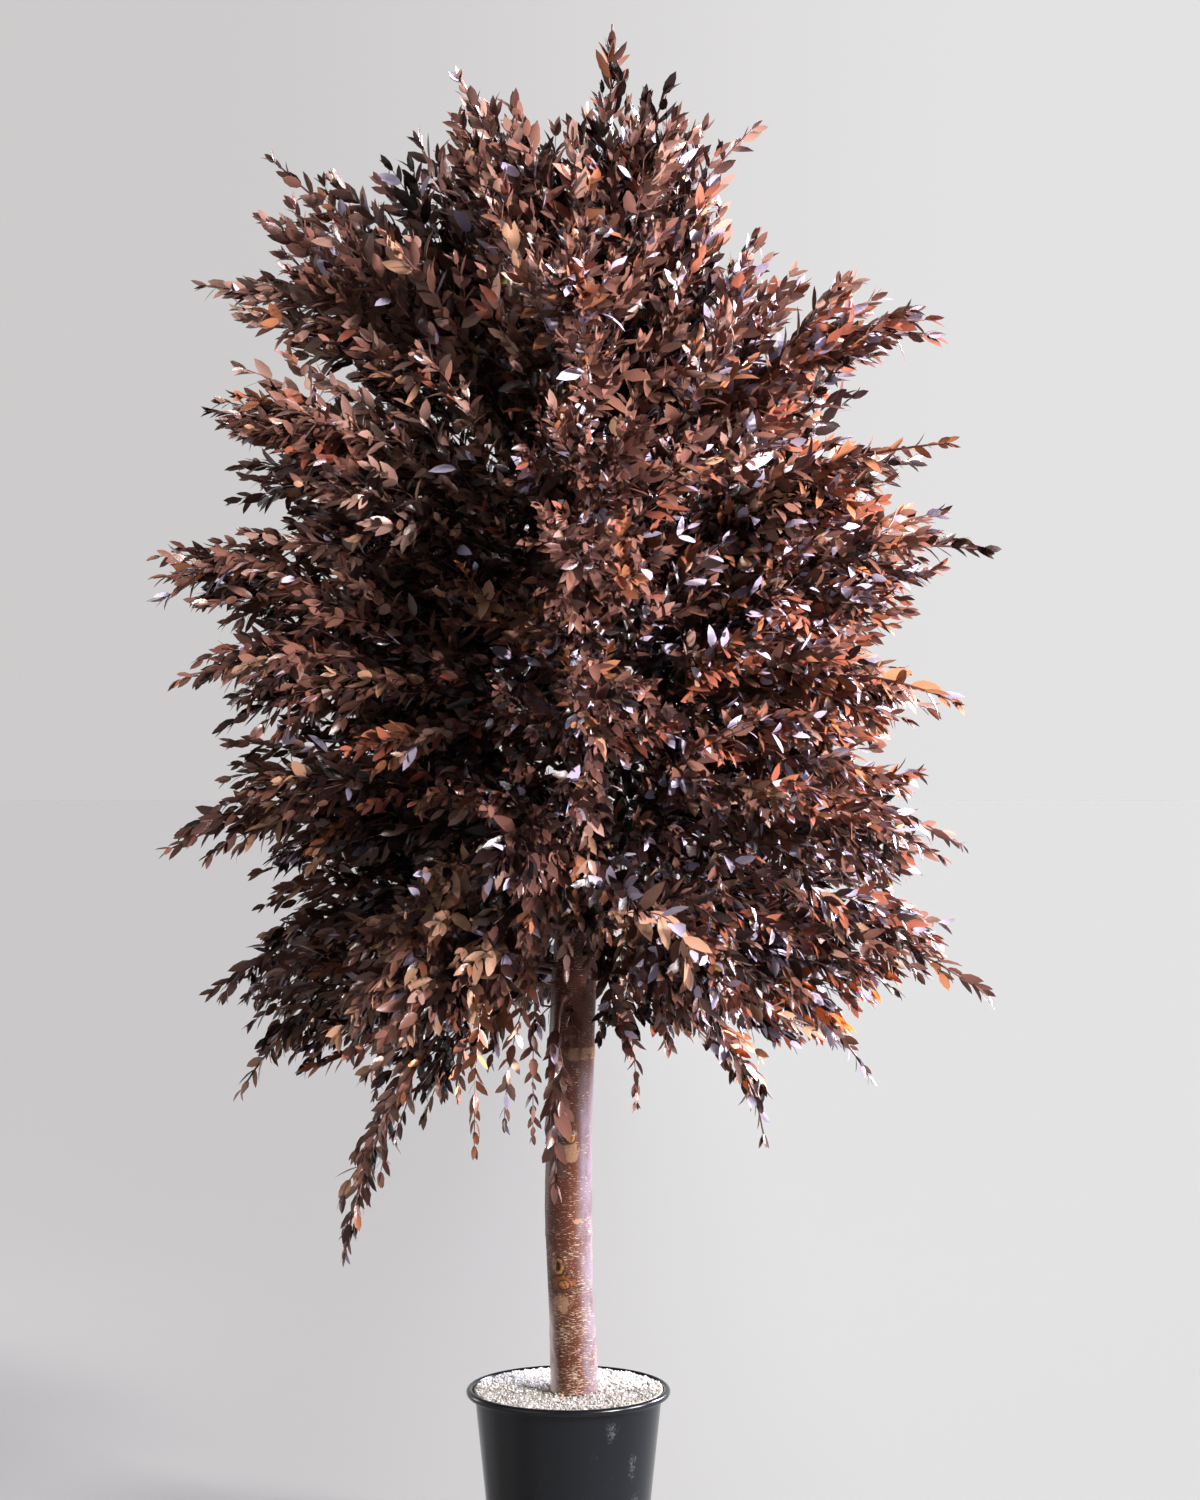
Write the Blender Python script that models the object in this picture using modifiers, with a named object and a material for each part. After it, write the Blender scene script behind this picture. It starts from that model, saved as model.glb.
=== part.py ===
"""A potted standard tree with preserved foliage: a birch pole that stands in a gravel-filled
pot, with leafy sprays let into it all round, from its top down to half its height.

Metres, +Z up. The origin is the middle of the pot's flat underside, and -Y is the front.
"""

import math
import random

import bmesh
import bpy
import numpy as np
from mathutils import Matrix, Vector

GAP = 0.0003  # between two solids that touch on the real tree
MERGE = 0.0001

# Pot: a turned bucket with a rolled lip, filled with gravel nearly to the brim
POT_HEIGHT = 0.280
POT_BASE_RADIUS = 0.100
POT_TOP_RADIUS = 0.1292
POT_RIM_RADIUS = 0.140
POT_WALL = 0.003
LIP_HEIGHT = 0.0104
LIP_WIDTH = 0.0094  # the wall flares under the lip to carry it
LIP_STEPS = 6
GRAVEL_TOP = 0.2765
GRAVEL_EDGE = 0.2785
GRAVEL_SEAT_RADIUS = 0.055
TURNED_STEPS = 40

# Trunk: a pole with a slow taper, a slight lean to +X and a shallow bow
TRUNK_FOOT = (0.0081, -0.010)
TRUNK_BASE = GRAVEL_TOP + GAP
TRUNK_TOP = 1.500
TRUNK_RADIUS = 0.0318
TRUNK_TAPER = 0.008
TRUNK_LEAN = 0.012
TRUNK_BOW = 0.0115
TRUNK_BOW_SPAN = 0.68
TRUNK_RINGS = 11
TRUNK_SQUARE_END = 0.006  # each end runs plumb over this length, so that its cut is level

# Stubs of cut side branches: height, turn round the trunk in degrees, radius, stand-out
KNOTS = (
    (0.626, -87.0, 0.0075, 0.0050),
    (0.449, -119.0, 0.0095, 0.0065),
    (0.424, -106.0, 0.0070, 0.0045),
    (0.800, 70.0, 0.0080, 0.0050),
)
KNOT_TAPER = 0.72
KNOT_SIDES = 8

# Sprays by tier, from the top down. Tips are (reach from the trunk, height) on the right (+X),
# on the left, and at the front and back; slopes are in degrees above the horizon.
TIERS = {
    "top": dict(count=6, turn=-4, height=TRUNK_TOP, right=(0.23, 2.01), left=(0.43, 1.95),
                front=(0.23, 2.03), start_slope=80, end_slope=44, core=0.056),
    "upper": dict(count=5, turn=-18, height=1.445, right=(0.50, 1.71), left=(0.53, 1.77),
                  front=(0.40, 1.74), start_slope=66, end_slope=0, core=0.070),
    "shoulder": dict(count=6, turn=30, height=1.345, right=(0.54, 1.57), left=(0.59, 1.58),
                     front=(0.44, 1.54), start_slope=44, end_slope=2, core=0.070),
    "middle": dict(count=5, turn=-18, height=1.245, right=(0.58, 1.43), left=(0.61, 1.40),
                   front=(0.49, 1.36), start_slope=38, end_slope=-10, core=0.072),
    "waist": dict(count=6, turn=30, height=1.135, right=(0.58, 1.24), left=(0.61, 1.24),
                  front=(0.48, 1.18), start_slope=32, end_slope=-22, core=0.078),
    "lower": dict(count=6, turn=22, height=1.025, right=(0.64, 1.02), left=(0.57, 1.03),
                  front=(0.46, 1.00), start_slope=24, end_slope=-26, core=0.078),
    "skirt": dict(count=6, turn=-6, height=0.925, right=(0.56, 0.82), left=(0.54, 0.83),
                  front=(0.45, 0.82), start_slope=14, end_slope=-36, core=0.070),
    "hem": dict(count=4, turn=14, height=0.872, right=(0.43, 0.70), left=(0.46, 0.69),
                front=(0.32, 0.79), start_slope=10, end_slope=-60, core=0.052),
}
LEADER = dict(tip=(0.060, -0.015, 2.146), core=0.055)
# Hanging sprays below the hem: turn in degrees, entry height, reach and height of the tip
HANGING = (
    (208, 0.832, 0.34, 0.495),
    (256, 0.818, 0.10, 0.575),
    (316, 0.845, 0.34, 0.660),
    (144, 0.845, 0.36, 0.660),
)
HANGING_SHAPE = dict(start_slope=8, end_slope=-80, core=0.026)
BOUGHED_TIERS = ("upper",)  # these sprays are carried clear of the trunk by a bough
BOUGH_LENGTH = 0.105
BOUGH_RADII = (0.0065, 0.0045)
ENTRY_RING = 0.0135  # how far from the pole's middle the top sprays enter its end
HEIGHT_STAGGER = 0.014  # alternate sprays of a tier enter this much above and below its height
TURN_SPREAD = 7.0
REACH_SPREAD = 0.04
RISE_SPREAD = 0.020
FOOT_LENGTH = 0.008  # a spray stands square to the trunk over this length, then bends
PATH_POINTS = 17
START_REACH = 0.34  # the cubic path's handles, as shares of the straight length
END_REACH = 0.40

# Each mass is one tube along its path: a bare stem that swells into a core and thins to a tip
STEM_RADII = (0.0045, 0.0022)
# It starts with the path's first two points, so its foot stays square to the trunk.
TUBE_SHARES = (0.0, 0.02, 0.24, 0.50, 0.78, 1.0)
TUBE_SWELL = (0.0, 0.0, 0.92, 1.0, 0.66, 0.0)

# Growth: side twigs leave a spray's stem in opposite pairs, each pair turned a quarter round,
# and run forward; leaves stand on the twigs and on the core in opposite pairs by the same rule.
LEAF_LENGTH = 0.112
LEAF_WIDTH = 0.052
LEAF_THICKNESS = 0.0036
LEAF_WIDEST = 0.42  # the share of its length at which a leaf is widest
# Slopes and sizes that are tried in turn until the leaf keeps to the spray's space
LEAF_TRIES = ((54.0, 1.0), (40.0, 1.0), (48.0, 0.78), (32.0, 0.78))
LEAF_STATIONS = (0.28, 0.50, 0.76)  # where a pair of leaves stands out of the core
LEAF_ROLL = 44.0  # each blade is turned this far about its own length
LEAF_SINK = 0.018  # how deep the root of such a leaf lies in the core
END_LEAF_SINK = 0.36  # the share of its length by which a leaf at a stem's or twig's end is sunk
TWIG_STATIONS = (0.50,)
TWIG_SLOPES = (42.0, 28.0)
TWIG_STAND_OUT = 0.060  # how far a twig runs beyond the core
TWIG_SHORTEST = 0.030
TWIG_RADIUS = 0.0034
TWIG_TIP_SHARE = 0.3
TWIG_SIDES = 3
TWIG_PAIR_AT = 0.55
STEM_PAIR_AT = 0.90
SIZE_SPREAD = 0.12
SPACE_CLEARANCE = 0.003
LIMB_CLEARANCE = 0.004

COLOURS = {
    "pot": ((0.018, 0.020, 0.024), 0.28),
    "gravel": ((0.72, 0.66, 0.60), 0.95),
    "bark": ((0.24, 0.095, 0.060), 0.45),
    "twig": ((0.115, 0.045, 0.032), 0.55),
    "leaf": ((0.130, 0.062, 0.045), 0.50),
}


def clear_scene():
    for item in list(bpy.data.objects):
        bpy.data.objects.remove(item, do_unlink=True)


def make_materials():
    materials = {}
    for name, (colour, roughness) in COLOURS.items():
        material = bpy.data.materials.new(name)
        material.use_nodes = True
        shader = material.node_tree.nodes["Principled BSDF"]
        shader.inputs["Base Color"].default_value = (*colour, 1.0)
        shader.inputs["Roughness"].default_value = roughness
        shader.inputs["Metallic"].default_value = 0.0
        materials[name] = material
    return materials


def link_new(name, data, collection):
    item = bpy.data.objects.new(name, data)
    collection.objects.link(item)
    return item


# ---- shapes -------------------------------------------------------------------------------


def turned(name, profile, collection):
    """A solid of revolution about +Z from (radius, height) points that run down its outside."""
    mesh = bpy.data.meshes.new(name)
    points = [(radius, 0.0, height) for radius, height in profile]
    mesh.from_pydata(points, [(i, i + 1) for i in range(len(points) - 1)], [])
    item = link_new(name, mesh, collection)
    screw = item.modifiers.new("turn", "SCREW")
    screw.axis = "Z"
    screw.steps = TURNED_STEPS
    screw.render_steps = TURNED_STEPS
    screw.use_merge_vertices = True
    screw.merge_threshold = MERGE
    return item


def tube(name, path, radii, collection, resolution=1):
    """A curve object that follows path, with flat ends square to its first and last stretch."""
    curve = bpy.data.curves.new(name, "CURVE")
    curve.dimensions = "3D"
    curve.bevel_depth = 1.0
    curve.bevel_resolution = resolution
    curve.use_fill_caps = True
    spline = curve.splines.new("POLY")
    spline.points.add(len(path) - 1)
    for point, place, radius in zip(spline.points, path, radii):
        point.co = (*place, 1.0)
        point.radius = radius
    return link_new(name, curve, collection)


def as_mesh(item, collection):
    """The curve object as a closed mesh object of the same name, in the same place."""
    name = item.name
    bpy.context.view_layer.update()
    graph = bpy.context.evaluated_depsgraph_get()
    mesh = bpy.data.meshes.new_from_object(item.evaluated_get(graph))
    work = bmesh.new()
    work.from_mesh(mesh)
    bmesh.ops.remove_doubles(work, verts=work.verts, dist=MERGE)
    bmesh.ops.recalc_face_normals(work, faces=work.faces)
    work.to_mesh(mesh)
    work.free()
    place = item.matrix_world.copy()
    bpy.data.objects.remove(item, do_unlink=True)
    made = link_new(name, mesh, collection)
    made.matrix_world = place
    return made


def unit_twig():
    """A three-sided cone along +Z, one unit long, that starts one unit in radius."""
    mesh = bpy.data.meshes.new("unit_twig")
    work = bmesh.new()
    bmesh.ops.create_cone(work, cap_ends=True, segments=TWIG_SIDES, radius1=1.0,
                          radius2=TWIG_TIP_SHARE, depth=1.0,
                          matrix=Matrix.Translation((0, 0, 0.5)))
    work.to_mesh(mesh)
    work.free()
    return mesh


def unit_leaf():
    """A pointed blade of six faces along +Z: flat on top, keeled below, wide in X."""
    mesh = bpy.data.meshes.new("unit_leaf")
    work = bmesh.new()
    bmesh.ops.create_uvsphere(work, u_segments=3, v_segments=2, radius=1.0)
    half_width = LEAF_WIDTH / 2 / math.sin(math.radians(120))
    for vertex in work.verts:
        x, y, z = vertex.co
        share = LEAF_WIDEST if abs(z) < 0.5 else (z + 1) / 2
        vertex.co = (half_width * y, -LEAF_THICKNESS * 2 / 3 * x, share * LEAF_LENGTH)
    work.to_mesh(mesh)
    work.free()
    return mesh


def keep_one_body(mesh):
    """Drops loose scraps and sealed hollows, so that the mesh's largest shell is left."""
    work = bmesh.new()
    work.from_mesh(mesh)
    bmesh.ops.triangulate(work, faces=work.faces)
    todo = set(work.verts)
    shells = []
    while todo:
        shell = {todo.pop()}
        fringe = list(shell)
        while fringe:
            vertex = fringe.pop()
            near = {edge.other_vert(vertex) for edge in vertex.link_edges} & todo
            todo -= near
            shell |= near
            fringe.extend(near)
        shells.append(shell)
    shells.sort(key=lambda shell: -sum(signed_volume(f) for f in faces_of(shell)))
    scraps = [vertex for shell in shells[1:] for vertex in shell]
    bmesh.ops.delete(work, geom=scraps, context="VERTS")
    work.to_mesh(mesh)
    work.free()


def faces_of(shell):
    return {face for vertex in shell for face in vertex.link_faces}


def signed_volume(face):
    a, b, c = (vertex.co for vertex in face.verts)
    return a.dot(b.cross(c)) / 6


def fuse(base, others, collection):
    """One closed body from base and the other mesh objects, which it takes the place of."""
    name = base.name
    joined = bpy.data.collections.new(name + "_joined")
    bpy.context.scene.collection.children.link(joined)
    for item in others:
        joined.objects.link(item)
    union = base.modifiers.new("join", "BOOLEAN")
    union.operation = "UNION"
    union.operand_type = "COLLECTION"
    union.collection = joined
    union.solver = "MANIFOLD"
    bpy.context.view_layer.update()
    graph = bpy.context.evaluated_depsgraph_get()
    mesh = bpy.data.meshes.new_from_object(base.evaluated_get(graph))
    place = base.matrix_world.copy()
    for item in (base, *others):
        bpy.data.objects.remove(item, do_unlink=True)
    bpy.data.collections.remove(joined)
    keep_one_body(mesh)
    made = link_new(name, mesh, collection)
    made.matrix_world = place
    return made


# ---- pot and gravel -----------------------------------------------------------------------


def pot_outer_radius(height):
    return POT_BASE_RADIUS + (POT_TOP_RADIUS - POT_BASE_RADIUS) * height / POT_HEIGHT


def pot_inner_radius(height):
    return pot_outer_radius(height) - POT_WALL


def make_pot(collection):
    lip_middle = POT_HEIGHT - LIP_HEIGHT / 2
    lip_bottom = POT_HEIGHT - LIP_HEIGHT
    lip_reach = LIP_WIDTH / 2
    lip_centre = POT_RIM_RADIUS - lip_reach
    profile = [(0.0, POT_WALL), (pot_inner_radius(POT_WALL), POT_WALL),
               (pot_inner_radius(lip_bottom), lip_bottom)]
    for step in range(LIP_STEPS + 1):
        turn = math.pi - 1.5 * math.pi * step / LIP_STEPS
        profile.append((lip_centre + lip_reach * math.cos(turn),
                        lip_middle + LIP_HEIGHT / 2 * math.sin(turn)))
    profile += [(pot_outer_radius(lip_bottom), lip_bottom),
                (POT_BASE_RADIUS, 0.0), (0.0, 0.0)]
    return turned("pot", profile, collection)


def make_gravel(collection):
    bottom = POT_WALL + GAP
    lip_middle, lip_bottom = POT_HEIGHT - LIP_HEIGHT / 2, POT_HEIGHT - LIP_HEIGHT
    edge_radius = POT_RIM_RADIUS - LIP_WIDTH - 2 * GAP
    profile = [(0.0, GRAVEL_TOP), (GRAVEL_SEAT_RADIUS, GRAVEL_TOP),
               (edge_radius, GRAVEL_EDGE), (edge_radius, lip_middle),
               (pot_inner_radius(lip_bottom) - 2 * GAP, lip_bottom),
               (pot_inner_radius(bottom) - 2 * GAP, bottom), (0.0, bottom)]
    return turned("gravel", profile, collection)


# ---- trunk --------------------------------------------------------------------------------


def trunk_section(height):
    """The trunk's middle, in X and Y, and its radius at this height."""
    low, high = TRUNK_BASE + TRUNK_SQUARE_END, TRUNK_TOP - TRUNK_SQUARE_END
    rise = min(max(height, low), high) - low
    bow = math.sin(math.pi * rise / TRUNK_BOW_SPAN)
    share = (height - TRUNK_BASE) / (TRUNK_TOP - TRUNK_BASE)
    return (TRUNK_FOOT[0] + TRUNK_LEAN * rise - TRUNK_BOW * bow,
            TRUNK_FOOT[1] + TRUNK_LEAN * rise + TRUNK_BOW / 2 * bow,
            TRUNK_RADIUS - TRUNK_TAPER * share ** 3)


def trunk_levels():
    """The heights of the trunk's rings. Its sides run straight from ring to ring."""
    low, high = TRUNK_BASE + TRUNK_SQUARE_END, TRUNK_TOP - TRUNK_SQUARE_END
    inner = [low + (high - low) * step / (TRUNK_RINGS - 1) for step in range(TRUNK_RINGS)]
    return [TRUNK_BASE, *inner, TRUNK_TOP]


LEVELS = trunk_levels()
SECTIONS = [trunk_section(level) for level in LEVELS]


def trunk_centre(height):
    """The middle of the trunk at this height, on the straight line between two rings."""
    x, y = (float(np.interp(height, LEVELS, [s[axis] for s in SECTIONS])) for axis in (0, 1))
    return Vector((x, y, height))


def trunk_radius(height):
    return float(np.interp(height, LEVELS, [section[2] for section in SECTIONS]))


def radial(turn):
    """The level direction at this turn in degrees, counted from +X."""
    return Vector((math.cos(math.radians(turn)), math.sin(math.radians(turn)), 0.0))


def square_to_trunk(height, outward):
    """The direction outward, tilted to stand square to the trunk's own lean at this height."""
    along = trunk_centre(height + BOUGH_RADII[0]) - trunk_centre(height - BOUGH_RADII[0])
    along.normalize()
    return (outward - along * outward.dot(along)).normalized()


def make_knot(index, height, turn, radius, stand_out, collection):
    """A short tapered stub that starts inside the trunk and stands out of its bark."""
    mesh = bpy.data.meshes.new(f"knot_{index}")
    depth = trunk_radius(height) + stand_out
    work = bmesh.new()
    bmesh.ops.create_cone(work, cap_ends=True, segments=KNOT_SIDES, radius1=radius,
                          radius2=radius * KNOT_TAPER, depth=depth,
                          matrix=Matrix.Translation((0, 0, depth / 2)))
    work.to_mesh(mesh)
    work.free()
    knot = link_new(mesh.name, mesh, collection)
    knot.matrix_world = (Matrix.Translation(trunk_centre(height))
                         @ radial(turn).to_track_quat("Z", "Y").to_matrix().to_4x4())
    return knot


def make_trunk(collection):
    path = [trunk_centre(level) for level in LEVELS]
    radii = [trunk_radius(level) for level in LEVELS]
    trunk = as_mesh(tube("trunk", path, radii, collection, resolution=8), collection)
    knots = [make_knot(i, *knot, collection) for i, knot in enumerate(KNOTS)]
    return fuse(trunk, knots, collection)


# ---- the sprays' paths --------------------------------------------------------------------


def bezier(start, first, second, end):
    shares = [step / (PATH_POINTS - 1) for step in range(PATH_POINTS)]
    return [start * (1 - t) ** 3 + first * 3 * t * (1 - t) ** 2
            + second * 3 * t * t * (1 - t) + end * t ** 3 for t in shares]


def sloped(outward, slope):
    """The direction that rises by slope degrees from the level direction outward."""
    lift = math.radians(slope)
    return outward * math.cos(lift) + Vector((0, 0, math.sin(lift)))


def spray_path(turn, entry_height, tip, start_slope, end_slope):
    """Points from a flat foot square to the trunk, along a bend at the start slope, to the tip."""
    outward = radial(turn)
    if entry_height < TRUNK_TOP:
        off_trunk = square_to_trunk(entry_height, outward)
        foot = trunk_centre(entry_height) + off_trunk * (trunk_radius(entry_height) + GAP)
    else:
        off_trunk = Vector((0, 0, 1))
        foot = trunk_centre(TRUNK_TOP) + outward * ENTRY_RING + off_trunk * GAP
    start = foot + off_trunk * FOOT_LENGTH
    straight = (tip - start).length
    first = start + sloped(outward, start_slope) * straight * START_REACH
    second = tip - sloped(outward, end_slope) * straight * END_REACH
    return [foot, *bezier(start, first, second, tip)]


def tier_tip(tier, turn):
    """The tip for a turn, between the side's and the front's reach and height."""
    toward_side = math.cos(math.radians(turn)) ** 2
    side = tier["right"] if math.cos(math.radians(turn)) > 0 else tier["left"]
    reach, height = (f + (s - f) * toward_side for s, f in zip(side, tier["front"]))
    return reach, height


def plan_sprays():
    """Every spray as a dict: its name, its path, its core's radius and whether it has a bough."""
    dice = random.Random("sprays")
    foot = trunk_centre(TRUNK_TOP) + Vector((0, 0, GAP))
    start = foot + Vector((0, 0, FOOT_LENGTH))
    tip = Vector(LEADER["tip"])
    rise = Vector((0, 0, (tip - start).length))
    leader = [foot, *bezier(start, start + rise * START_REACH, tip - rise * END_REACH, tip)]
    sprays = [dict(name="leader_spray", path=leader, core=LEADER["core"], bough=None)]
    for tier_name, tier in TIERS.items():
        for k in range(tier["count"]):
            turn = tier["turn"] + 360 * k / tier["count"] + dice.uniform(-1, 1) * TURN_SPREAD
            reach, height = tier_tip(tier, turn)
            entry = tier["height"]
            if entry < TRUNK_TOP:
                entry += HEIGHT_STAGGER * (1 if k % 2 else -1)
            bough = f"{tier_name}_bough_{k + 1}" if tier_name in BOUGHED_TIERS else None
            reach *= 1 + dice.uniform(-1, 1) * REACH_SPREAD
            tip = trunk_centre(entry) + radial(turn) * reach
            tip.z = height + dice.uniform(-1, 1) * RISE_SPREAD
            path = spray_path(turn, entry, tip, tier["start_slope"], tier["end_slope"])
            sprays.append(dict(name=f"{tier_name}_spray_{k + 1}", path=path,
                               core=tier["core"], bough=bough))
    for k, (turn, entry, reach, height) in enumerate(HANGING):
        tip = trunk_centre(entry) + radial(turn) * reach
        tip.z = height
        path = spray_path(turn, entry, tip, HANGING_SHAPE["start_slope"],
                          HANGING_SHAPE["end_slope"])
        sprays.append(dict(name=f"hanging_spray_{k + 1}", path=path,
                           core=HANGING_SHAPE["core"], bough=None))
    return sprays


def path_length(path):
    return sum((end - start).length for start, end in zip(path, path[1:]))


def split_path(path, length):
    """The path up to this length along it, and the rest of it."""
    gone = 0.0
    for i in range(len(path) - 1):
        step = (path[i + 1] - path[i]).length
        if gone + step > length:
            cut = path[i].lerp(path[i + 1], (length - gone) / step)
            return [*path[:i + 1], cut], [cut, *path[i + 1:]]
        gone += step
    raise ValueError("the path is shorter than its bough")


def point_at(path, share):
    """The point and the direction at this share of the path's length."""
    left = share * path_length(path)
    for start, end in zip(path, path[1:]):
        step = (end - start).length
        if left <= step:
            break
        left -= step
    return start.lerp(end, min(left / step, 1.0)), (end - start).normalized()


def distances(points, path):
    """How far each point is from a path."""
    p = np.array(points, float)[:, None, :]
    a = np.array(path[:-1], float)[None, :, :]
    step = np.array(path[1:], float)[None, :, :] - a
    share = np.clip(((p - a) * step).sum(2) / (step * step).sum(2), 0, 1)
    return np.linalg.norm(p - a - share[..., None] * step, axis=2).min(1)


class Space:
    """Which points belong to a spray: those nearer to its path than to any other's, and clear
    of the trunk and the boughs."""

    def __init__(self, sprays):
        self.sprays = sprays
        self.boughs = [split_path(s["path"], BOUGH_LENGTH)[0] for s in sprays if s["bough"]]

    def rivals(self, spray, points):
        return np.min([distances(points, s["path"]) for s in self.sprays if s is not spray],
                      axis=0)

    def trunk_gap(self, points):
        gaps = []
        for point in points:
            height = min(max(point[2], TRUNK_BASE), TRUNK_TOP)
            middle = trunk_centre(height)
            gaps.append((Vector(point) - middle).length - trunk_radius(height))
        return np.array(gaps)

    def holds(self, spray, points):
        own = distances(points, spray["path"])
        if (self.rivals(spray, points) < own + 2 * SPACE_CLEARANCE).any():
            return False
        if (self.trunk_gap(points) < LIMB_CLEARANCE).any():
            return False
        limit = BOUGH_RADII[0] + LIMB_CLEARANCE
        return all((distances(points, bough) > limit).all() for bough in self.boughs)


# ---- growing one spray --------------------------------------------------------------------


def stood_off(direction, slope, turn):
    """The direction leant away from itself by slope degrees, to the side given by turn."""
    side = direction.cross(Vector((0, 0, 1)))
    if side.length < MERGE:
        side = Vector((1, 0, 0))
    side.normalize()
    side.rotate(Matrix.Rotation(math.radians(turn), 3, direction))
    lean = math.radians(slope)
    return (direction * math.cos(lean) + side * math.sin(lean)).normalized()


def tube_radii(spray, stem, space):
    """The places and radii of the mass's tube, its core kept inside the spray's space."""
    places = [*stem[:2], *(point_at(stem, share)[0] for share in TUBE_SHARES[2:])]
    room = np.minimum(space.rivals(spray, places) / 2, space.trunk_gap(places))
    radii = []
    for share, swell, gap in zip(TUBE_SHARES, TUBE_SWELL, room):
        bare = STEM_RADII[0] + (STEM_RADII[1] - STEM_RADII[0]) * share
        core = min(spray["core"] * swell, float(gap) - LIMB_CLEARANCE)
        radii.append(max(bare, core) if swell else bare)
    return places, radii


class Growth:
    """Grows the twigs and leaves of one spray as mesh objects that lie in its space."""

    def __init__(self, spray, stem, radii, space, shapes, collection):
        self.spray, self.stem, self.radii = spray, stem, radii
        self.space, self.shapes, self.collection = space, shapes, collection
        self.dice = random.Random(spray["name"])
        self.items = []
        self.leaves = 0

    def place(self, shape, root, rotation, size):
        item = link_new(shape, self.shapes[shape], self.collection)
        item.matrix_world = (Matrix.Translation(root) @ rotation.to_4x4()
                             @ Matrix.Diagonal((*size, 1.0)))
        self.items.append(item)

    def core_at(self, share):
        return float(np.interp(share, TUBE_SHARES, self.radii))

    def leaf(self, root, direction, across, share=1.0):
        """A leaf from root along direction, its blade spread along across, if it has room."""
        across = (across - direction * across.dot(direction)).normalized()
        across.rotate(Matrix.Rotation(math.radians(LEAF_ROLL), 3, direction))
        size = share * (1 + self.dice.uniform(-1, 1) * SIZE_SPREAD)
        widest = root + direction * LEAF_WIDEST * LEAF_LENGTH * size
        edge = across * LEAF_WIDTH / 2 * size
        tip = root + direction * LEAF_LENGTH * size
        fits = self.space.holds(self.spray, [root, widest + edge, widest - edge, tip])
        if fits:
            frame = Matrix((across, direction.cross(across), direction)).transposed()
            self.place("leaf", root, frame, (size, size, size))
            self.leaves += 1
        return fits

    def leaf_pair(self, root, direction, turn, out=0.0):
        for side in (0, 180):
            foot = root + stood_off(direction, 90, turn + side) * out
            for slope, share in LEAF_TRIES:
                outward = stood_off(direction, slope, turn + side)
                if self.leaf(foot, outward, direction.cross(outward), share):
                    break

    def end_leaf(self, end, direction):
        sunk = end - direction * END_LEAF_SINK * LEAF_LENGTH
        return self.leaf(sunk, direction, stood_off(direction, 90, 0))

    def twig(self, root, heading, turn, core):
        """A straight twig from the stem to beyond the core, with leaves, if it has room."""
        for slope in TWIG_SLOPES:
            direction = stood_off(heading, slope, turn)
            inside = core / math.sin(math.radians(slope))
            length = inside + TWIG_STAND_OUT
            while length > inside + TWIG_SHORTEST:
                end = root + direction * length
                if self.space.holds(self.spray, [end]) and self.end_leaf(end, direction):
                    rotation = direction.to_track_quat("Z", "Y").to_matrix()
                    self.place("twig", root, rotation, (TWIG_RADIUS, TWIG_RADIUS, length))
                    pair = root + direction * (inside + (length - inside) * TWIG_PAIR_AT)
                    self.leaf_pair(pair, direction, turn + 90)
                    return
                length -= TWIG_SHORTEST / 3

    def grow(self):
        turn = self.dice.uniform(-15, 15)
        for station in TWIG_STATIONS:
            root, direction = point_at(self.stem, station)
            for side in (0, 180):
                self.twig(root, direction, turn + side, self.core_at(station))
            turn += 90
        turn = self.dice.uniform(30, 60)
        for station in LEAF_STATIONS:
            root, direction = point_at(self.stem, station)
            self.leaf_pair(root, direction, turn, max(0.0, self.core_at(station) - LEAF_SINK))
            turn += 90
        root, direction = point_at(self.stem, STEM_PAIR_AT)
        self.leaf_pair(root, direction, turn)
        self.end_leaf(self.stem[-1], (self.stem[-1] - self.stem[-2]).normalized())


def make_spray(spray, space, shapes, collection):
    """The spray's bough, if it has one, and its mass: tube, twigs and leaves fused in one."""
    stem = spray["path"]
    stem = split_path(stem, path_length(stem) - (1 - END_LEAF_SINK) * LEAF_LENGTH)[0]
    boughs = []
    if spray["bough"]:
        wood, stem = split_path(stem, BOUGH_LENGTH)
        radii = np.linspace(*BOUGH_RADII, len(wood))
        boughs.append(tube(spray["bough"], wood, radii, collection))
        heading = (stem[1] - stem[0]).normalized()
        stem = [stem[0] + heading * GAP, *stem[1:]]
    places, radii = tube_radii(spray, stem, space)
    growth = Growth(spray, stem, radii, space, shapes, collection)
    growth.grow()
    base = as_mesh(tube(spray["name"], places, radii, collection), collection)
    mass = fuse(base, growth.items, collection)
    return boughs, mass, growth.leaves


def main():
    clear_scene()
    materials = make_materials()
    tree = bpy.data.collections.new("potted_standard_tree")
    bpy.context.scene.collection.children.link(tree)
    shapes = {"twig": unit_twig(), "leaf": unit_leaf()}
    finish = {"pot": [make_pot(tree)], "gravel": [make_gravel(tree)], "bark": [make_trunk(tree)],
              "twig": [], "leaf": []}
    sprays = plan_sprays()
    space = Space(sprays)
    leaves = 0
    for spray in sprays:
        boughs, mass, count = make_spray(spray, space, shapes, tree)
        finish["twig"] += boughs
        finish["leaf"].append(mass)
        leaves += count
    for name, items in finish.items():
        for item in items:
            item.data.materials.clear()
            item.data.materials.append(materials[name])
    print(f"{len(sprays)} sprays with {leaves} leaves")


main()
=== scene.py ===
import math
import random

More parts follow.
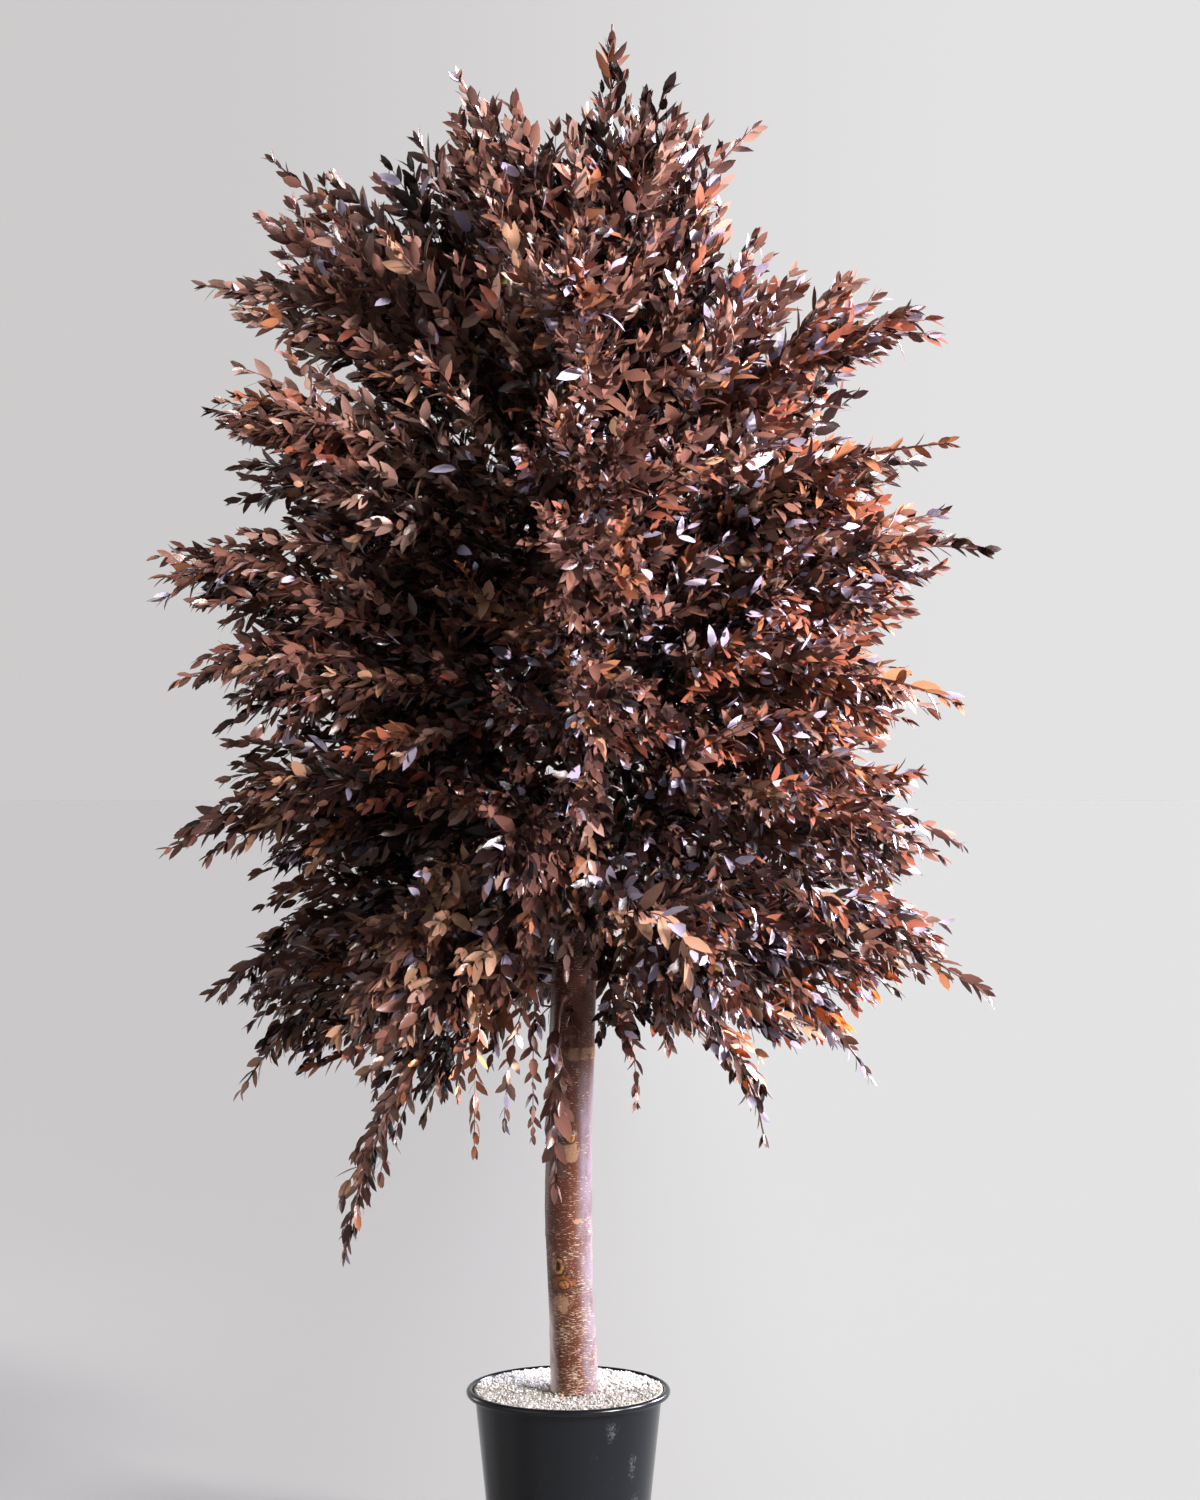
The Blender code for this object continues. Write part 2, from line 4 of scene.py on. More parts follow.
import bpy
import numpy as np
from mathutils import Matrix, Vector


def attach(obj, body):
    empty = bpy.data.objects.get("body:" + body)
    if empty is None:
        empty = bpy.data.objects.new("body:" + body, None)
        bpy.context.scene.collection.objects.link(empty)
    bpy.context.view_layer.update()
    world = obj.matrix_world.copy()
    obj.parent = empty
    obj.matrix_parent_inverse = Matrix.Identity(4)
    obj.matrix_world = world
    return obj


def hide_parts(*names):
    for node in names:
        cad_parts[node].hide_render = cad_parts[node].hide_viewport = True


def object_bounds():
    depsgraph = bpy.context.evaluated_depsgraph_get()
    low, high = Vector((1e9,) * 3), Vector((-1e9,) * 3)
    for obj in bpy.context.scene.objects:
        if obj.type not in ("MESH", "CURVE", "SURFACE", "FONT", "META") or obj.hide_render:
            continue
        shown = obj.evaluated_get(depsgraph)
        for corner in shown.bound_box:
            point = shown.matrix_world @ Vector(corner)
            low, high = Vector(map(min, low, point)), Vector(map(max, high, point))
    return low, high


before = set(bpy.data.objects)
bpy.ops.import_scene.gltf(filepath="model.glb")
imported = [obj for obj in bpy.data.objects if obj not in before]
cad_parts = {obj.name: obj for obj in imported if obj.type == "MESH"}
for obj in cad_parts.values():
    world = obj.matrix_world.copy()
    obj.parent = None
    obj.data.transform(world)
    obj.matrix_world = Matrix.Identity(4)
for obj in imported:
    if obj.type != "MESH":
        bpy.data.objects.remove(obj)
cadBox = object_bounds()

scene = bpy.context.scene
print("frame loaded:", len(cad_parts), "nodes")

# camera: level, square to the front
camera = {"place": (0.0434, -3.82, 1.154), "lens": 66.8, "sensor": 36.0}

cameraData = bpy.data.cameras.new("camera")
cameraData.lens = camera["lens"]
cameraData.sensor_width = camera["sensor"]
cameraObject = bpy.data.objects.new("camera", cameraData)
cameraObject.location = camera["place"]
cameraObject.rotation_euler = (math.pi / 2, 0, 0)
scene.collection.objects.link(cameraObject)
scene.camera = cameraObject


def newMaterial(name, colour, roughness, sockets=None):
    material = bpy.data.materials.new(name)
    material.use_nodes = True
    shader = material.node_tree.nodes["Principled BSDF"]
    shader.inputs["Base Color"].default_value = (*colour, 1)
    shader.inputs["Roughness"].default_value = roughness
    for socket, value in (sockets or {}).items():
        shader.inputs[socket].default_value = value
    return material


class Nodes:
    # a short way to add nodes to the tree of a material or of the sky
    def __init__(self, owner):
        self.tree = owner.node_tree
        self.shader = self.tree.nodes.get("Principled BSDF")

    def add(self, kind, settings=None, **values):
        node = self.tree.nodes.new("ShaderNode" + kind)
        for name, value in (settings or {}).items():
            setattr(node, name, value)
        for name, value in values.items():  # a socket's name, or i and its number
            socket = int(name[1:]) if name[1:].isdigit() else name
            self.feed(node.inputs[socket], value)
        return node

    def feed(self, socket, value):
        if isinstance(value, bpy.types.NodeSocket):
            self.tree.links.new(value, socket)
        elif isinstance(value, bpy.types.Node):
            self.tree.links.new(value.outputs[0], socket)
        else:
            socket.default_value = value

    def maths(self, operation, first, second):
        return self.add("Math", {"operation": operation}, i0=first, i1=second)

    def plus(self, first, second):
        return self.maths("ADD", first, second)

    def times(self, first, second):
        return self.maths("MULTIPLY", first, second)

    def larger(self, first, second):
        return self.maths("MAXIMUM", first, second)

    def ramp(self, value, low, high, bottom=0.0, top=1.0):
        # a smooth step from bottom to top as value goes from low to high
        return self.add("MapRange", {"interpolation_type": "SMOOTHSTEP"}, i0=value, i1=low,
                        i2=high, i3=bottom, i4=top)

    def mix(self, share, first, second):
        node = self.add("Mix", {"data_type": "RGBA"})
        for socket, value in zip((node.inputs[0], node.inputs[6], node.inputs[7]),
                                 (share, first, second)):
            self.feed(socket, (*value, 1) if isinstance(value, tuple) else value)
        return node.outputs[2]

    def place(self, kind="Object"):
        return self.add("TexCoord").outputs[kind]

    def noise(self, where, scale, detail=3.0, roughness=0.55):
        return self.add("TexNoise", None, Vector=where, Scale=scale, Detail=detail,
                        Roughness=roughness).outputs[0]

    def mapped(self, where, scale, move=(0, 0, 0)):
        return self.add("Mapping", None, Vector=where, Scale=scale, Location=move).outputs[0]

    def stretched(self, where, scale, move=(0, 0, 0), detail=4):
        return self.noise(self.mapped(where, scale, move), 1.0, detail)

    def awayFrom(self, where, centre, halves):
        # how far from centre a place is, counted in half sizes
        near = self.mapped(where, [1 / half for half in halves],
                           [-middle / half for middle, half in zip(centre, halves)])
        return self.add("VectorMath", {"operation": "LENGTH"}, i0=near).outputs["Value"]

    def paint(self, colour, roughness=None):
        self.feed(self.shader.inputs["Base Color"], colour)
        if roughness is not None:
            self.feed(self.shader.inputs["Roughness"], roughness)

    def bump(self, height, distance):
        bump = self.add("Bump", None, Height=height, Distance=distance, Strength=1.0)
        self.feed(self.shader.inputs["Normal"], bump)


def grainedMaterial(name, colour, roughness, grain, depth, sockets=None):
    # one even colour with a fine grain: how fine, and how deep
    material = newMaterial(name, colour, roughness, sockets)
    nodes = Nodes(material)
    nodes.bump(nodes.noise(nodes.place(), grain, 2), depth)
    return material


def newMesh(name, points, groups, materials, slots=None, smooth=True):
    # a mesh object from arrays: the faces in a group all have the same number of corners
    mesh = bpy.data.meshes.new(name)
    corners = np.concatenate([group.ravel() for group in groups]).astype(np.int32)
    sizes = np.concatenate([np.full(len(group), group.shape[1]) for group in groups])
    starts = np.concatenate([[0], np.cumsum(sizes)[:-1]]).astype(np.int32)
    mesh.vertices.add(len(points))
    mesh.vertices.foreach_set("co", np.asarray(points, np.float32).ravel())
    mesh.loops.add(len(corners))
    mesh.loops.foreach_set("vertex_index", corners)
    mesh.polygons.add(len(sizes))
    mesh.polygons.foreach_set("loop_start", starts)
    for material in materials:
        mesh.materials.append(material)
    if slots is not None:
        mesh.polygons.foreach_set("material_index", np.asarray(slots, np.int32))
    mesh.polygons.foreach_set("use_smooth", np.full(len(sizes), smooth))
    mesh.update(calc_edges=True)
    piece = bpy.data.objects.new(name, mesh)
    scene.collection.objects.link(piece)
    return piece


def ringFaces(rings, around, upward=False):
    # the faces over rings of points, from the top ring down unless upward, and the fans that
    # close both ends onto the two points that follow the rings
    rows, here = np.meshgrid(np.arange(rings - 1) * around, np.arange(around), indexing="ij")
    right = (here + 1) % around
    quads = np.stack([rows + here, rows + around + here, rows + around + right, rows + right], -1)
    first, last, end = here[0], (rings - 1) * around, np.full(around, rings * around)
    fans = np.vstack([np.stack([end, first, right[0]], 1),
                      np.stack([end + 1, last + right[0], last + first], 1)])
    groups = [quads.reshape(-1, 4), fans]
    return [np.roll(group[:, ::-1], 1, axis=1) for group in groups] if upward else groups


def turnsRound(count):
    return 2 * math.pi * np.arange(count) / count


def unit(vectors):
    return vectors / np.maximum(np.linalg.norm(vectors, axis=-1, keepdims=True), 1e-9)


# trunk: a pole with a slow taper, a slight lean to +X and a shallow bow
trunk = {"foot": (0.0081, -0.010), "base": 0.2768, "top": 1.500, "radius": 0.0318,
         "taper": 0.008, "lean": 0.012, "bow": 0.0115, "bowSpan": 0.68, "rings": 11,
         "squareEnd": 0.006}
gap = 0.0003  # between two solids that touch on the real tree


def trunkSection(height):
    low, high = trunk["base"] + trunk["squareEnd"], trunk["top"] - trunk["squareEnd"]
    rise = min(max(height, low), high) - low
    bow = math.sin(math.pi * rise / trunk["bowSpan"])
    share = (height - trunk["base"]) / (trunk["top"] - trunk["base"])
    return (trunk["foot"][0] + trunk["lean"] * rise - trunk["bow"] * bow,
            trunk["foot"][1] + trunk["lean"] * rise + trunk["bow"] / 2 * bow,
            trunk["radius"] - trunk["taper"] * share ** 3)


def trunkLevels():
    low, high = trunk["base"] + trunk["squareEnd"], trunk["top"] - trunk["squareEnd"]
    rings = trunk["rings"] - 1
    return [trunk["base"], *(low + (high - low) * step / rings for step in range(rings + 1)),
            trunk["top"]]


levels = trunkLevels()
sections = np.array([trunkSection(level) for level in levels])


def trunkAt(heights):
    # the trunk's middle and its radius
    x, y, radius = (np.interp(heights, levels, sections[:, column]) for column in range(3))
    return np.stack([x, y, heights], -1), radius


def trunkCentre(height):
    return Vector(trunkAt(height)[0])


# sprays by tier, from the top down: tips are (reach from the trunk, height), slopes in degrees
tiers = {
    "top": dict(count=6, turn=-4, height=1.500, right=(0.23, 2.01), left=(0.43, 1.95),
                front=(0.23, 2.03), startSlope=80, endSlope=44),
    "upper": dict(count=5, turn=-18, height=1.445, right=(0.50, 1.71), left=(0.53, 1.77),
                  front=(0.40, 1.74), startSlope=66, endSlope=0),
    "shoulder": dict(count=6, turn=30, height=1.345, right=(0.54, 1.57), left=(0.59, 1.58),
                     front=(0.44, 1.54), startSlope=44, endSlope=2),
    "middle": dict(count=5, turn=-18, height=1.245, right=(0.58, 1.43), left=(0.61, 1.40),
                   front=(0.49, 1.36), startSlope=38, endSlope=-10),
    "waist": dict(count=6, turn=30, height=1.135, right=(0.58, 1.24), left=(0.61, 1.24),
                  front=(0.48, 1.18), startSlope=32, endSlope=-22),
    "lower": dict(count=6, turn=22, height=1.025, right=(0.64, 1.02), left=(0.57, 1.03),
                  front=(0.46, 1.00), startSlope=24, endSlope=-26),
    "skirt": dict(count=6, turn=-6, height=0.925, right=(0.56, 0.82), left=(0.54, 0.83),
                  front=(0.45, 0.82), startSlope=14, endSlope=-36),
    "hem": dict(count=4, turn=14, height=0.872, right=(0.43, 0.70), left=(0.46, 0.69),
                front=(0.32, 0.79), startSlope=10, endSlope=-60),
}
leaderTip = (0.060, -0.015, 2.146)
# hanging sprays below the hem: turn, entry height, reach and height of the tip
hanging = ((208, 0.832, 0.34, 0.495), (256, 0.818, 0.10, 0.575),
           (316, 0.845, 0.34, 0.660), (144, 0.845, 0.36, 0.660))
sprayRule = {"hangingSlopes": (8, -80), "boughedTier": "upper", "boughLength": 0.105,
             "boughRadii": (0.0065, 0.0045), "entryRing": 0.0135, "stagger": 0.014,
             "turnSpread": 7.0, "reachSpread": 0.04, "riseSpread": 0.020, "foot": 0.008,
             "points": 17, "startReach": 0.34, "endReach": 0.40}


def radial(turn):
    return Vector((math.cos(math.radians(turn)), math.sin(math.radians(turn)), 0))


def sloped(outward, slope):
    rise = math.radians(slope)
    return outward * math.cos(rise) + Vector((0, 0, math.sin(rise)))


def squareToTrunk(height, outward):
    step = sprayRule["boughRadii"][0]
    along = (trunkCentre(height + step) - trunkCentre(height - step)).normalized()
    return (outward - along * outward.dot(along)).normalized()


def bend(start, first, second, end):
    shares = [step / (sprayRule["points"] - 1) for step in range(sprayRule["points"])]
    return [start * (1 - t) ** 3 + first * 3 * t * (1 - t) ** 2
            + second * 3 * t * t * (1 - t) + end * t ** 3 for t in shares]


def sprayPath(turn, entry, tip, startSlope, endSlope):
    outward = radial(turn)
    if entry < trunk["top"]:
        offTrunk = squareToTrunk(entry, outward)
        foot = trunkCentre(entry) + offTrunk * float(trunkAt(entry)[1] + gap)
    else:
        offTrunk = Vector((0, 0, 1))
        foot = trunkCentre(trunk["top"]) + outward * sprayRule["entryRing"] + offTrunk * gap
    start = foot + offTrunk * sprayRule["foot"]
    straight = (tip - start).length
    first = start + sloped(outward, startSlope) * straight * sprayRule["startReach"]
    second = tip - sloped(outward, endSlope) * straight * sprayRule["endReach"]
    return [foot, *bend(start, first, second, tip)]


def tierTip(tier, turn):
    towardSide = math.cos(math.radians(turn)) ** 2
    side = tier["right"] if math.cos(math.radians(turn)) > 0 else tier["left"]
    return tuple(f + (s - f) * towardSide for s, f in zip(side, tier["front"]))


def planSprays():
    # each spray: its name, its tier and its stem's path
    dice = random.Random("sprays")
    foot = trunkCentre(trunk["top"]) + Vector((0, 0, gap))
    start = foot + Vector((0, 0, sprayRule["foot"]))
    tip = Vector(leaderTip)
    rise = Vector((0, 0, (tip - start).length))
    path = [foot, *bend(start, start + rise * sprayRule["startReach"],
                        tip - rise * sprayRule["endReach"], tip)]
    plan = [dict(name="leader_spray", tier="top", path=path)]
    for tierName, tier in tiers.items():
        for k in range(tier["count"]):
            turn = tier["turn"] + 360 * k / tier["count"]
            turn += dice.uniform(-1, 1) * sprayRule["turnSpread"]
            reach, height = tierTip(tier, turn)
            entry = tier["height"]
            if entry < trunk["top"]:
                entry += sprayRule["stagger"] * (1 if k % 2 else -1)
            reach *= 1 + dice.uniform(-1, 1) * sprayRule["reachSpread"]
            tip = trunkCentre(entry) + radial(turn) * reach
            tip.z = height + dice.uniform(-1, 1) * sprayRule["riseSpread"]
            path = sprayPath(turn, entry, tip, tier["startSlope"], tier["endSlope"])
            plan.append(dict(name=f"{tierName}_spray_{k + 1}", tier=tierName, path=path))
    for k, (turn, entry, reach, height) in enumerate(hanging):
        tip = trunkCentre(entry) + radial(turn) * reach
        tip.z = height
        path = sprayPath(turn, entry, tip, *sprayRule["hangingSlopes"])
        plan.append(dict(name=f"hanging_spray_{k + 1}", tier="hanging", path=path))
    return plan


sprays = planSprays()
print("stems planned:", len(sprays))

# growth: twigs leave a stem in opposite pairs, each pair turned a quarter round, and run
# forward; twiglets leave the twigs and leaves stand on all of them by the same rule
growth = {
    "twigStep": 0.034,  # between pairs of twigs
    "firstTwig": 0.034,  # bare stem before the first pair
    "lastTwig": 0.055,  # and beyond the last one
    # how long the twigs are, by how much of the stem is still ahead
    "twigReach": ((0.05, 0.12, 0.25, 0.42), (0.055, 0.105, 0.205, 0.300)),
    "twigSlopes": (43, 22),  # at the stem's foot and at its tip
    "forward": 0.76,  # how far a twig has turned along its stem by its tip
    "twigletStep": 0.050,
    "twigletReach": ((0.045, 0.10, 0.20), (0.040, 0.075, 0.120)),
    "twigletSlope": 30,
    "twigletFrom": 0.11,  # twigs longer than this carry twiglets
    "lastTwiglet": 0.040,
    "missing": 0.34,  # share of the twiglets left out
    # how much all this varies
    "twigSizes": (0.70, 1.12), "twigSteps": (0.80, 1.20), "riseSpread": 0.06,
    "twigletSizes": (0.7, 1.15), "twigletSteps": (0.85, 1.2), "bendSpread": 0.10,
    "slopeSpread": 6, "sideSpread": 12, "quarterSpread": 10,
    # a twig that leaves its own space is cut back in these steps, or left out
    "cuts": (1, 0.8, 0.62, 0.45), "shortest": 0.022,
    "overlap": 0.100,  # how far a spray may reach into its neighbour's space
    "trunkClear": 0.014,
    "outside": 0.006,  # how far tips may pass the solids' box
    "points": {"stem": 40, "twig": 6, "twiglet": 4, "sprig": 12},
}
# the crown's outline, which only stems and a few twigs pass: reach to either side by height
crown = {
    "heights": (0.70, 0.77, 0.84, 0.93, 1.02, 1.10, 1.16, 1.25, 1.34, 1.43, 1.52, 1.58, 1.64,
                1.72, 1.79, 1.83, 1.90, 1.96, 2.05, 2.13),
    "right": (0.33, 0.40, 0.46, 0.52, 0.53, 0.49, 0.45, 0.46, 0.49, 0.48, 0.44, 0.40, 0.45,
              0.46, 0.38, 0.27, 0.22, 0.20, 0.14, 0.04),
    "left": (0.34, 0.42, 0.46, 0.43, 0.45, 0.47, 0.45, 0.48, 0.52, 0.53, 0.50, 0.47, 0.43,
             0.45, 0.41, 0.39, 0.35, 0.31, 0.12, 0.02),
    "depth": 0.92, "slack": (0.95, 1.15),
    # the underside by distance from the middle
    "under": ((0.05, 0.15, 0.28, 0.42), (0.950, 0.910, 0.760, 0.690)),
}
# what some sprays or tiers have of their own: shorter twigs
slimness = {"hanging": 0.50, "hanging_spray_2": 0.26, "hem_spray_4": 0.25,
            "leader_spray": 0.50}
# the share of the stem before its first leaf
bareShares = {"hem": 0.58, "hanging_spray_2": 0.50, "hem_spray_4": 0.62}
usualBare = 0.35
# twigs further apart, and larger leaves
twigSteps = {"top": 0.046, "upper": 0.038}
leafSizes = {"hanging_spray_2": 1.12}
# how much the twigs' tips rise, or droop where it is negative
lift = {"top": 0.12, "upper": 0.04, "shoulder": -0.10, "middle": -0.20, "waist": -0.28,
        "lower": -0.34, "skirt": -0.40, "hem": -0.42, "hanging": -0.30}
leaf = {
    "length": 0.0385, "width": 0.0152, "spacing": 0.0202,
    # across the leaf at five rows from its foot to its tip
    "rows": (0, 0.14, 0.42, 0.76, 1), "widths": (0, 0.64, 1.0, 0.68, 0),
    "fold": 0.20, "curl": 0.12, "shapeSpread": 0.10,
    # by how much of the twig is still ahead: size, slope from the twig and distance apart
    "shrink": ((0, 0.03, 0.09), (0.50, 0.82, 1.0)), "slopes": ((0, 0.10), (20, 42)),
    "crowd": ((0, 0.05), (0.75, 1.0)), "sizeCrowd": 0.6,
    # bare foot of twigs and twiglets, bare tip, and how much of a stem's end has leaves
    "starts": {"twig": 0.018, "twiglet": 0.012}, "tip": 0.004, "onStem": 0.34,
    "tuft": 3, "tuftSlope": 18, "tuftSize": 0.60,  # at the tip of every twig
    # what turns them: their weight, the twig's way, and the light outward and above
    "droop": 0.12, "alongTwig": 0.4, "light": 0.6, "lightPull": 0.75, "loose": 0.50,
    "twigSizes": (0.84, 1.18), "spread": 0.20, "widthSizes": (0.82, 1.15),
    "quarterSpread": 7, "turnSpread": 8,
    # how large they are by height, and in the broad part of the crown
    "sizes": ((0.85, 1.35, 1.80), (0.90, 0.98, 1.07)), "broadSize": 1.16,
    "outside": 0.012, "trunkClear": 0.004,  # past the solids' box, and off the trunk
}
wood = {"radii": {"stem": (0.0046, 0.0012), "twig": (0.0017, 0.0006),
                  "twiglet": (0.0010, 0.0005), "sprig": (0.0011, 0.0006)},
        "stemSides": 6, "twigSides": 3, "sunk": 0.006}

cadLow, cadHigh = (np.array(corner) for corner in cadBox)
allPaths = np.array([[tuple(p) for p in s["path"]] for s in sprays])


def lengthsAlong(path):
    return np.concatenate([[0], np.cumsum(np.linalg.norm(np.diff(path, axis=0), axis=1))])


def pointsAlong(path, along, places):
    return np.stack([np.interp(places, along, path[:, axis]) for axis in range(3)], 1)


def resample(path, count):
    # the path at even distances, and its length
    along = lengthsAlong(path)
    return pointsAlong(path, along, np.linspace(0, along[-1], count)), along[-1]


def pathDistances(points):
    # how far each point is from each spray's path
    p = points[:, None, None, :]
    a = allPaths[None, :, :-1, :]
    step = allPaths[None, :, 1:, :] - a
    share = np.clip(((p - a) * step).sum(-1) / (step * step).sum(-1), 0, 1)
    return np.linalg.norm(p - a - share[..., None] * step, axis=-1).min(-1)


def trunkClearance(points):
    middle, radius = trunkAt(np.clip(points[:, 2], trunk["base"], trunk["top"]))
    return np.linalg.norm(points - middle, axis=1) - radius


def stoodOff(headings, slopes, turns):
    # each heading leant away from itself by a slope in degrees, to the side its turn gives
    turns, leans = np.radians(turns)[:, None], np.radians(slopes)[:, None]
    side = np.cross(headings, (0, 0, 1.0))
    side[np.linalg.norm(side, axis=1) < 1e-4] = (1, 0, 0)
    side = unit(side)
    side = side * np.cos(turns) + np.cross(headings, side) * np.sin(turns)
    return headings * np.cos(leans) + side * np.sin(leans)


def bentTwig(root, start, end, length, count):
    shares = (np.arange(count) + 0.5)[:, None] / count
    headings = unit(start * (1 - shares) + end * shares)
    return np.vstack([root, root + np.cumsum(headings * length / count, axis=0)])


def outwardShare(point):
    # how far out a point is: 0 on the crown's middle line, 1 on its skin
    x, y, z = point
    right, left = (np.interp(z, crown["heights"], crown[side]) for side in ("right", "left"))
    return math.hypot(x / (right if x > 0 else left), y / ((right + left) / 2 * crown["depth"]))


def inCrown(point, slack):
    if point[2] < np.interp(math.hypot(point[0], point[1]), *crown["under"]):
        return False
    return outwardShare(point) < slack


def inReach(points, own, slack):
    box = ((points > cadLow - growth["outside"]) & (points < cadHigh + growth["outside"])).all()
    if not box or (trunkClearance(points) < growth["trunkClear"]).any():
        return False
    if sprays[own]["tier"] != "hanging" and not inCrown(points[-1], slack):
        return False
    away = pathDistances(points[-1:])[0]
    return away[own] < np.delete(away, own).min() + growth["overlap"]


def growTwig(root, heading, slope, turn, length, rise, own, dice, count):
    # a twig that turns forward and rises or droops, shortened until it keeps to its reach
    start = stoodOff(heading[None], [slope], [turn])[0]
    ahead = start * (1 - growth["forward"]) + heading * growth["forward"]
    end = unit(ahead + np.array((0, 0, rise)) + dice.normal(0, growth["bendSpread"], 3))
    slack = dice.uniform(*crown["slack"])
    for share in growth["cuts"]:
        twig = bentTwig(root, start, end, length * share, count)
        if length * share > growth["shortest"] and inReach(twig[2:], own, slack):
            return twig
    return None


def pointOn(path, length, place):
    # a point on an evenly stepped path, and the way the path heads there
    at = place / length * (len(path) - 1)
    i = min(int(at), len(path) - 2)
    return path[i] + (path[i + 1] - path[i]) * (at - i), unit(path[i + 1] - path[i])


def ownValue(table, spray, usual):
    # what a table says for a spray, or else for its tier
    return table.get(spray["name"], table.get(spray["tier"], usual))


def boughOf(spray):
    # how much of a spray's stem is a bough
    return sprayRule["boughLength"] if spray["tier"] == sprayRule["boughedTier"] else 0.0


def growSpray(own, spray):
    # the spray's stem, twigs and twiglets: kind, path and leaf size of each
    dice = np.random.default_rng(1000 + own)
    path, length = resample(allPaths[own], growth["points"]["stem"])
    rise, slim = lift[spray["tier"]], ownValue(slimness, spray, 1.0)
    size, step = ownValue(leafSizes, spray, None), ownValue(twigSteps, spray, growth["twigStep"])
    grown = [("stem", path, size)]
    place, turn = max(growth["firstTwig"], boughOf(spray) + 0.01), dice.uniform(0, 90)
    while place < length - growth["lastTwig"]:
        root, heading = pointOn(path, length, place)
        slope = np.interp(place / length, (0, 1), growth["twigSlopes"])
        long = np.interp(length - place, *growth["twigReach"])
        for side in (0, 180):
            twigLength = long * dice.uniform(*growth["twigSizes"]) * slim
            twig = growTwig(root, heading, slope + dice.normal(0, growth["slopeSpread"]),
                            turn + side + dice.normal(0, growth["sideSpread"]), twigLength,
                            rise + dice.normal(0, growth["riseSpread"]), own, dice,
                            growth["points"]["twig"])
            if twig is not None:
                grown.append(("twig", twig, size))
                growTwiglets(twig, rise, own, dice, grown, size)
        turn += 90 + dice.normal(0, growth["quarterSpread"])
        place += step * dice.uniform(*growth["twigSteps"])
    return grown


def growTwiglets(twig, rise, own, dice, grown, size):
    long = lengthsAlong(twig)[-1]
    if long < growth["twigletFrom"]:
        return
    place, turn = growth["twigletStep"] * dice.uniform(0.6, 1.0), dice.uniform(0, 180)
    while place < long - growth["lastTwiglet"]:
        root, heading = pointOn(twig, long, place)
        short = np.interp(long - place, *growth["twigletReach"])
        for side in (0, 180):
            if dice.random() < growth["missing"]:
                continue
            twigletLength = short * dice.uniform(*growth["twigletSizes"])
            slope = growth["twigletSlope"] + dice.normal(0, growth["slopeSpread"])
            twiglet = growTwig(root, heading, slope, turn + side, twigletLength, rise, own,
                               dice, growth["points"]["twiglet"])
            if twiglet is not None:
                grown.append(("twiglet", twiglet, size))
        turn += 90 + dice.normal(0, growth["quarterSpread"])
        place += growth["twigletStep"] * dice.uniform(*growth["twigletSteps"])


# loose sprigs under the crown: kind, root, tip and how large the leaves are
sprigs = {
    "paths": (("falling", (-0.030, -0.110, 0.880), (-0.082, -0.165, 0.665), 0.72),
              ("falling", (-0.030, -0.080, 0.880), (-0.046, -0.100, 0.640), 0.66),
              ("falling", (0.045, -0.110, 0.890), (0.092, -0.135, 0.690), 0.66),
              ("falling", (-0.060, -0.100, 0.865), (-0.142, -0.170, 0.705), 0.72),
              ("falling", (-0.090, -0.130, 0.855), (-0.120, -0.200, 0.640), 0.74),
              ("covering", (0.000, -0.035, 1.110), (-0.028, -0.270, 0.905), 0.76),
              ("covering", (0.010, -0.035, 1.120), (0.010, -0.260, 0.930), 0.76),
              ("covering", (0.020, -0.035, 1.100), (0.042, -0.250, 0.900), 0.76),
              ("covering", (0.014, -0.035, 1.040), (0.000, -0.250, 0.872), 0.72),
              ("covering", (0.022, -0.035, 1.050), (0.030, -0.240, 0.865), 0.72),
              ("covering", (0.005, -0.035, 1.170), (0.030, -0.290, 0.990), 0.80),
              ("covering", (0.005, -0.035, 1.165), (-0.015, -0.300, 0.960), 0.80),
              ("broad", (0.060, -0.300, 0.945), (0.150, -0.425, 0.890), 1.28)),
    "carrier": "hanging_spray_2",
    # how far they leap outward and fall onto their tips, and their bare foot
    "leap": 0.05, "fall": 0.09, "bare": 0.04,
    "tints": {"falling": {"leafTan": 0.14, "leafDusty": 0.22, "leafCopper": 0.14,
                          "leafBrown": 0.50},
              "covering": {"leafTan": 0.12, "leafDusty": 0.08, "leafCopper": 0.24,
                           "leafBrown": 0.30, "leafUmber": 0.26},
              "broad": {"leafTan": 0.45, "leafDusty": 0.55}},
}


def growSprigs():
    grown = []
    for kind, root, tip, size in sprigs["paths"]:
        root, tip = Vector(root), Vector(tip)
        outward = Vector((root.x, root.y, 0)).normalized()
        path = bend(root, root + sloped(outward, 5) * sprigs["leap"],
                    tip + Vector((0, 0, sprigs["fall"])), tip)
        path = resample(np.array([tuple(p) for p in path]), growth["points"]["sprig"])[0]
        grown.append((kind, path, size))
    return grown


# tints: plain base colours, dealt out a twig at a time
tints = {
    # painted shade: the darkest tint stands for the shade inside the crown
    "leafPaintedShade": (0.014, 0.0070, 0.0065),
    "leafUmber": (0.070, 0.031, 0.025),
    "leafBrown": (0.125, 0.055, 0.041),
    "leafRusset": (0.185, 0.056, 0.034),
    "leafTan": (0.290, 0.160, 0.102),
    "leafDusty": (0.200, 0.115, 0.093),
    "leafCopper": (0.210, 0.080, 0.040),
    # painted light: pale lavender leaves stand for glints, and orange red ones for leaves glowing
    # with light from behind
    "leafPaintedGlint": (0.400, 0.350, 0.480),
    "leafPaintedGlow": (0.720, 0.150, 0.030),
    "leafOlive": (0.220, 0.160, 0.050),
}
# how much of each tint there is everywhere
tintShares = {"leafUmber": 0.27, "leafBrown": 0.40, "leafRusset": 0.05, "leafTan": 0.03,
              "leafDusty": 0.09, "leafCopper": 0.02}
# painted shade: the inner twigs get the darkest tint, its share by how far out toward the crown's
# skin they are
paintedShadeShare = ((0.32, 0.66), (1.7, 0.06))
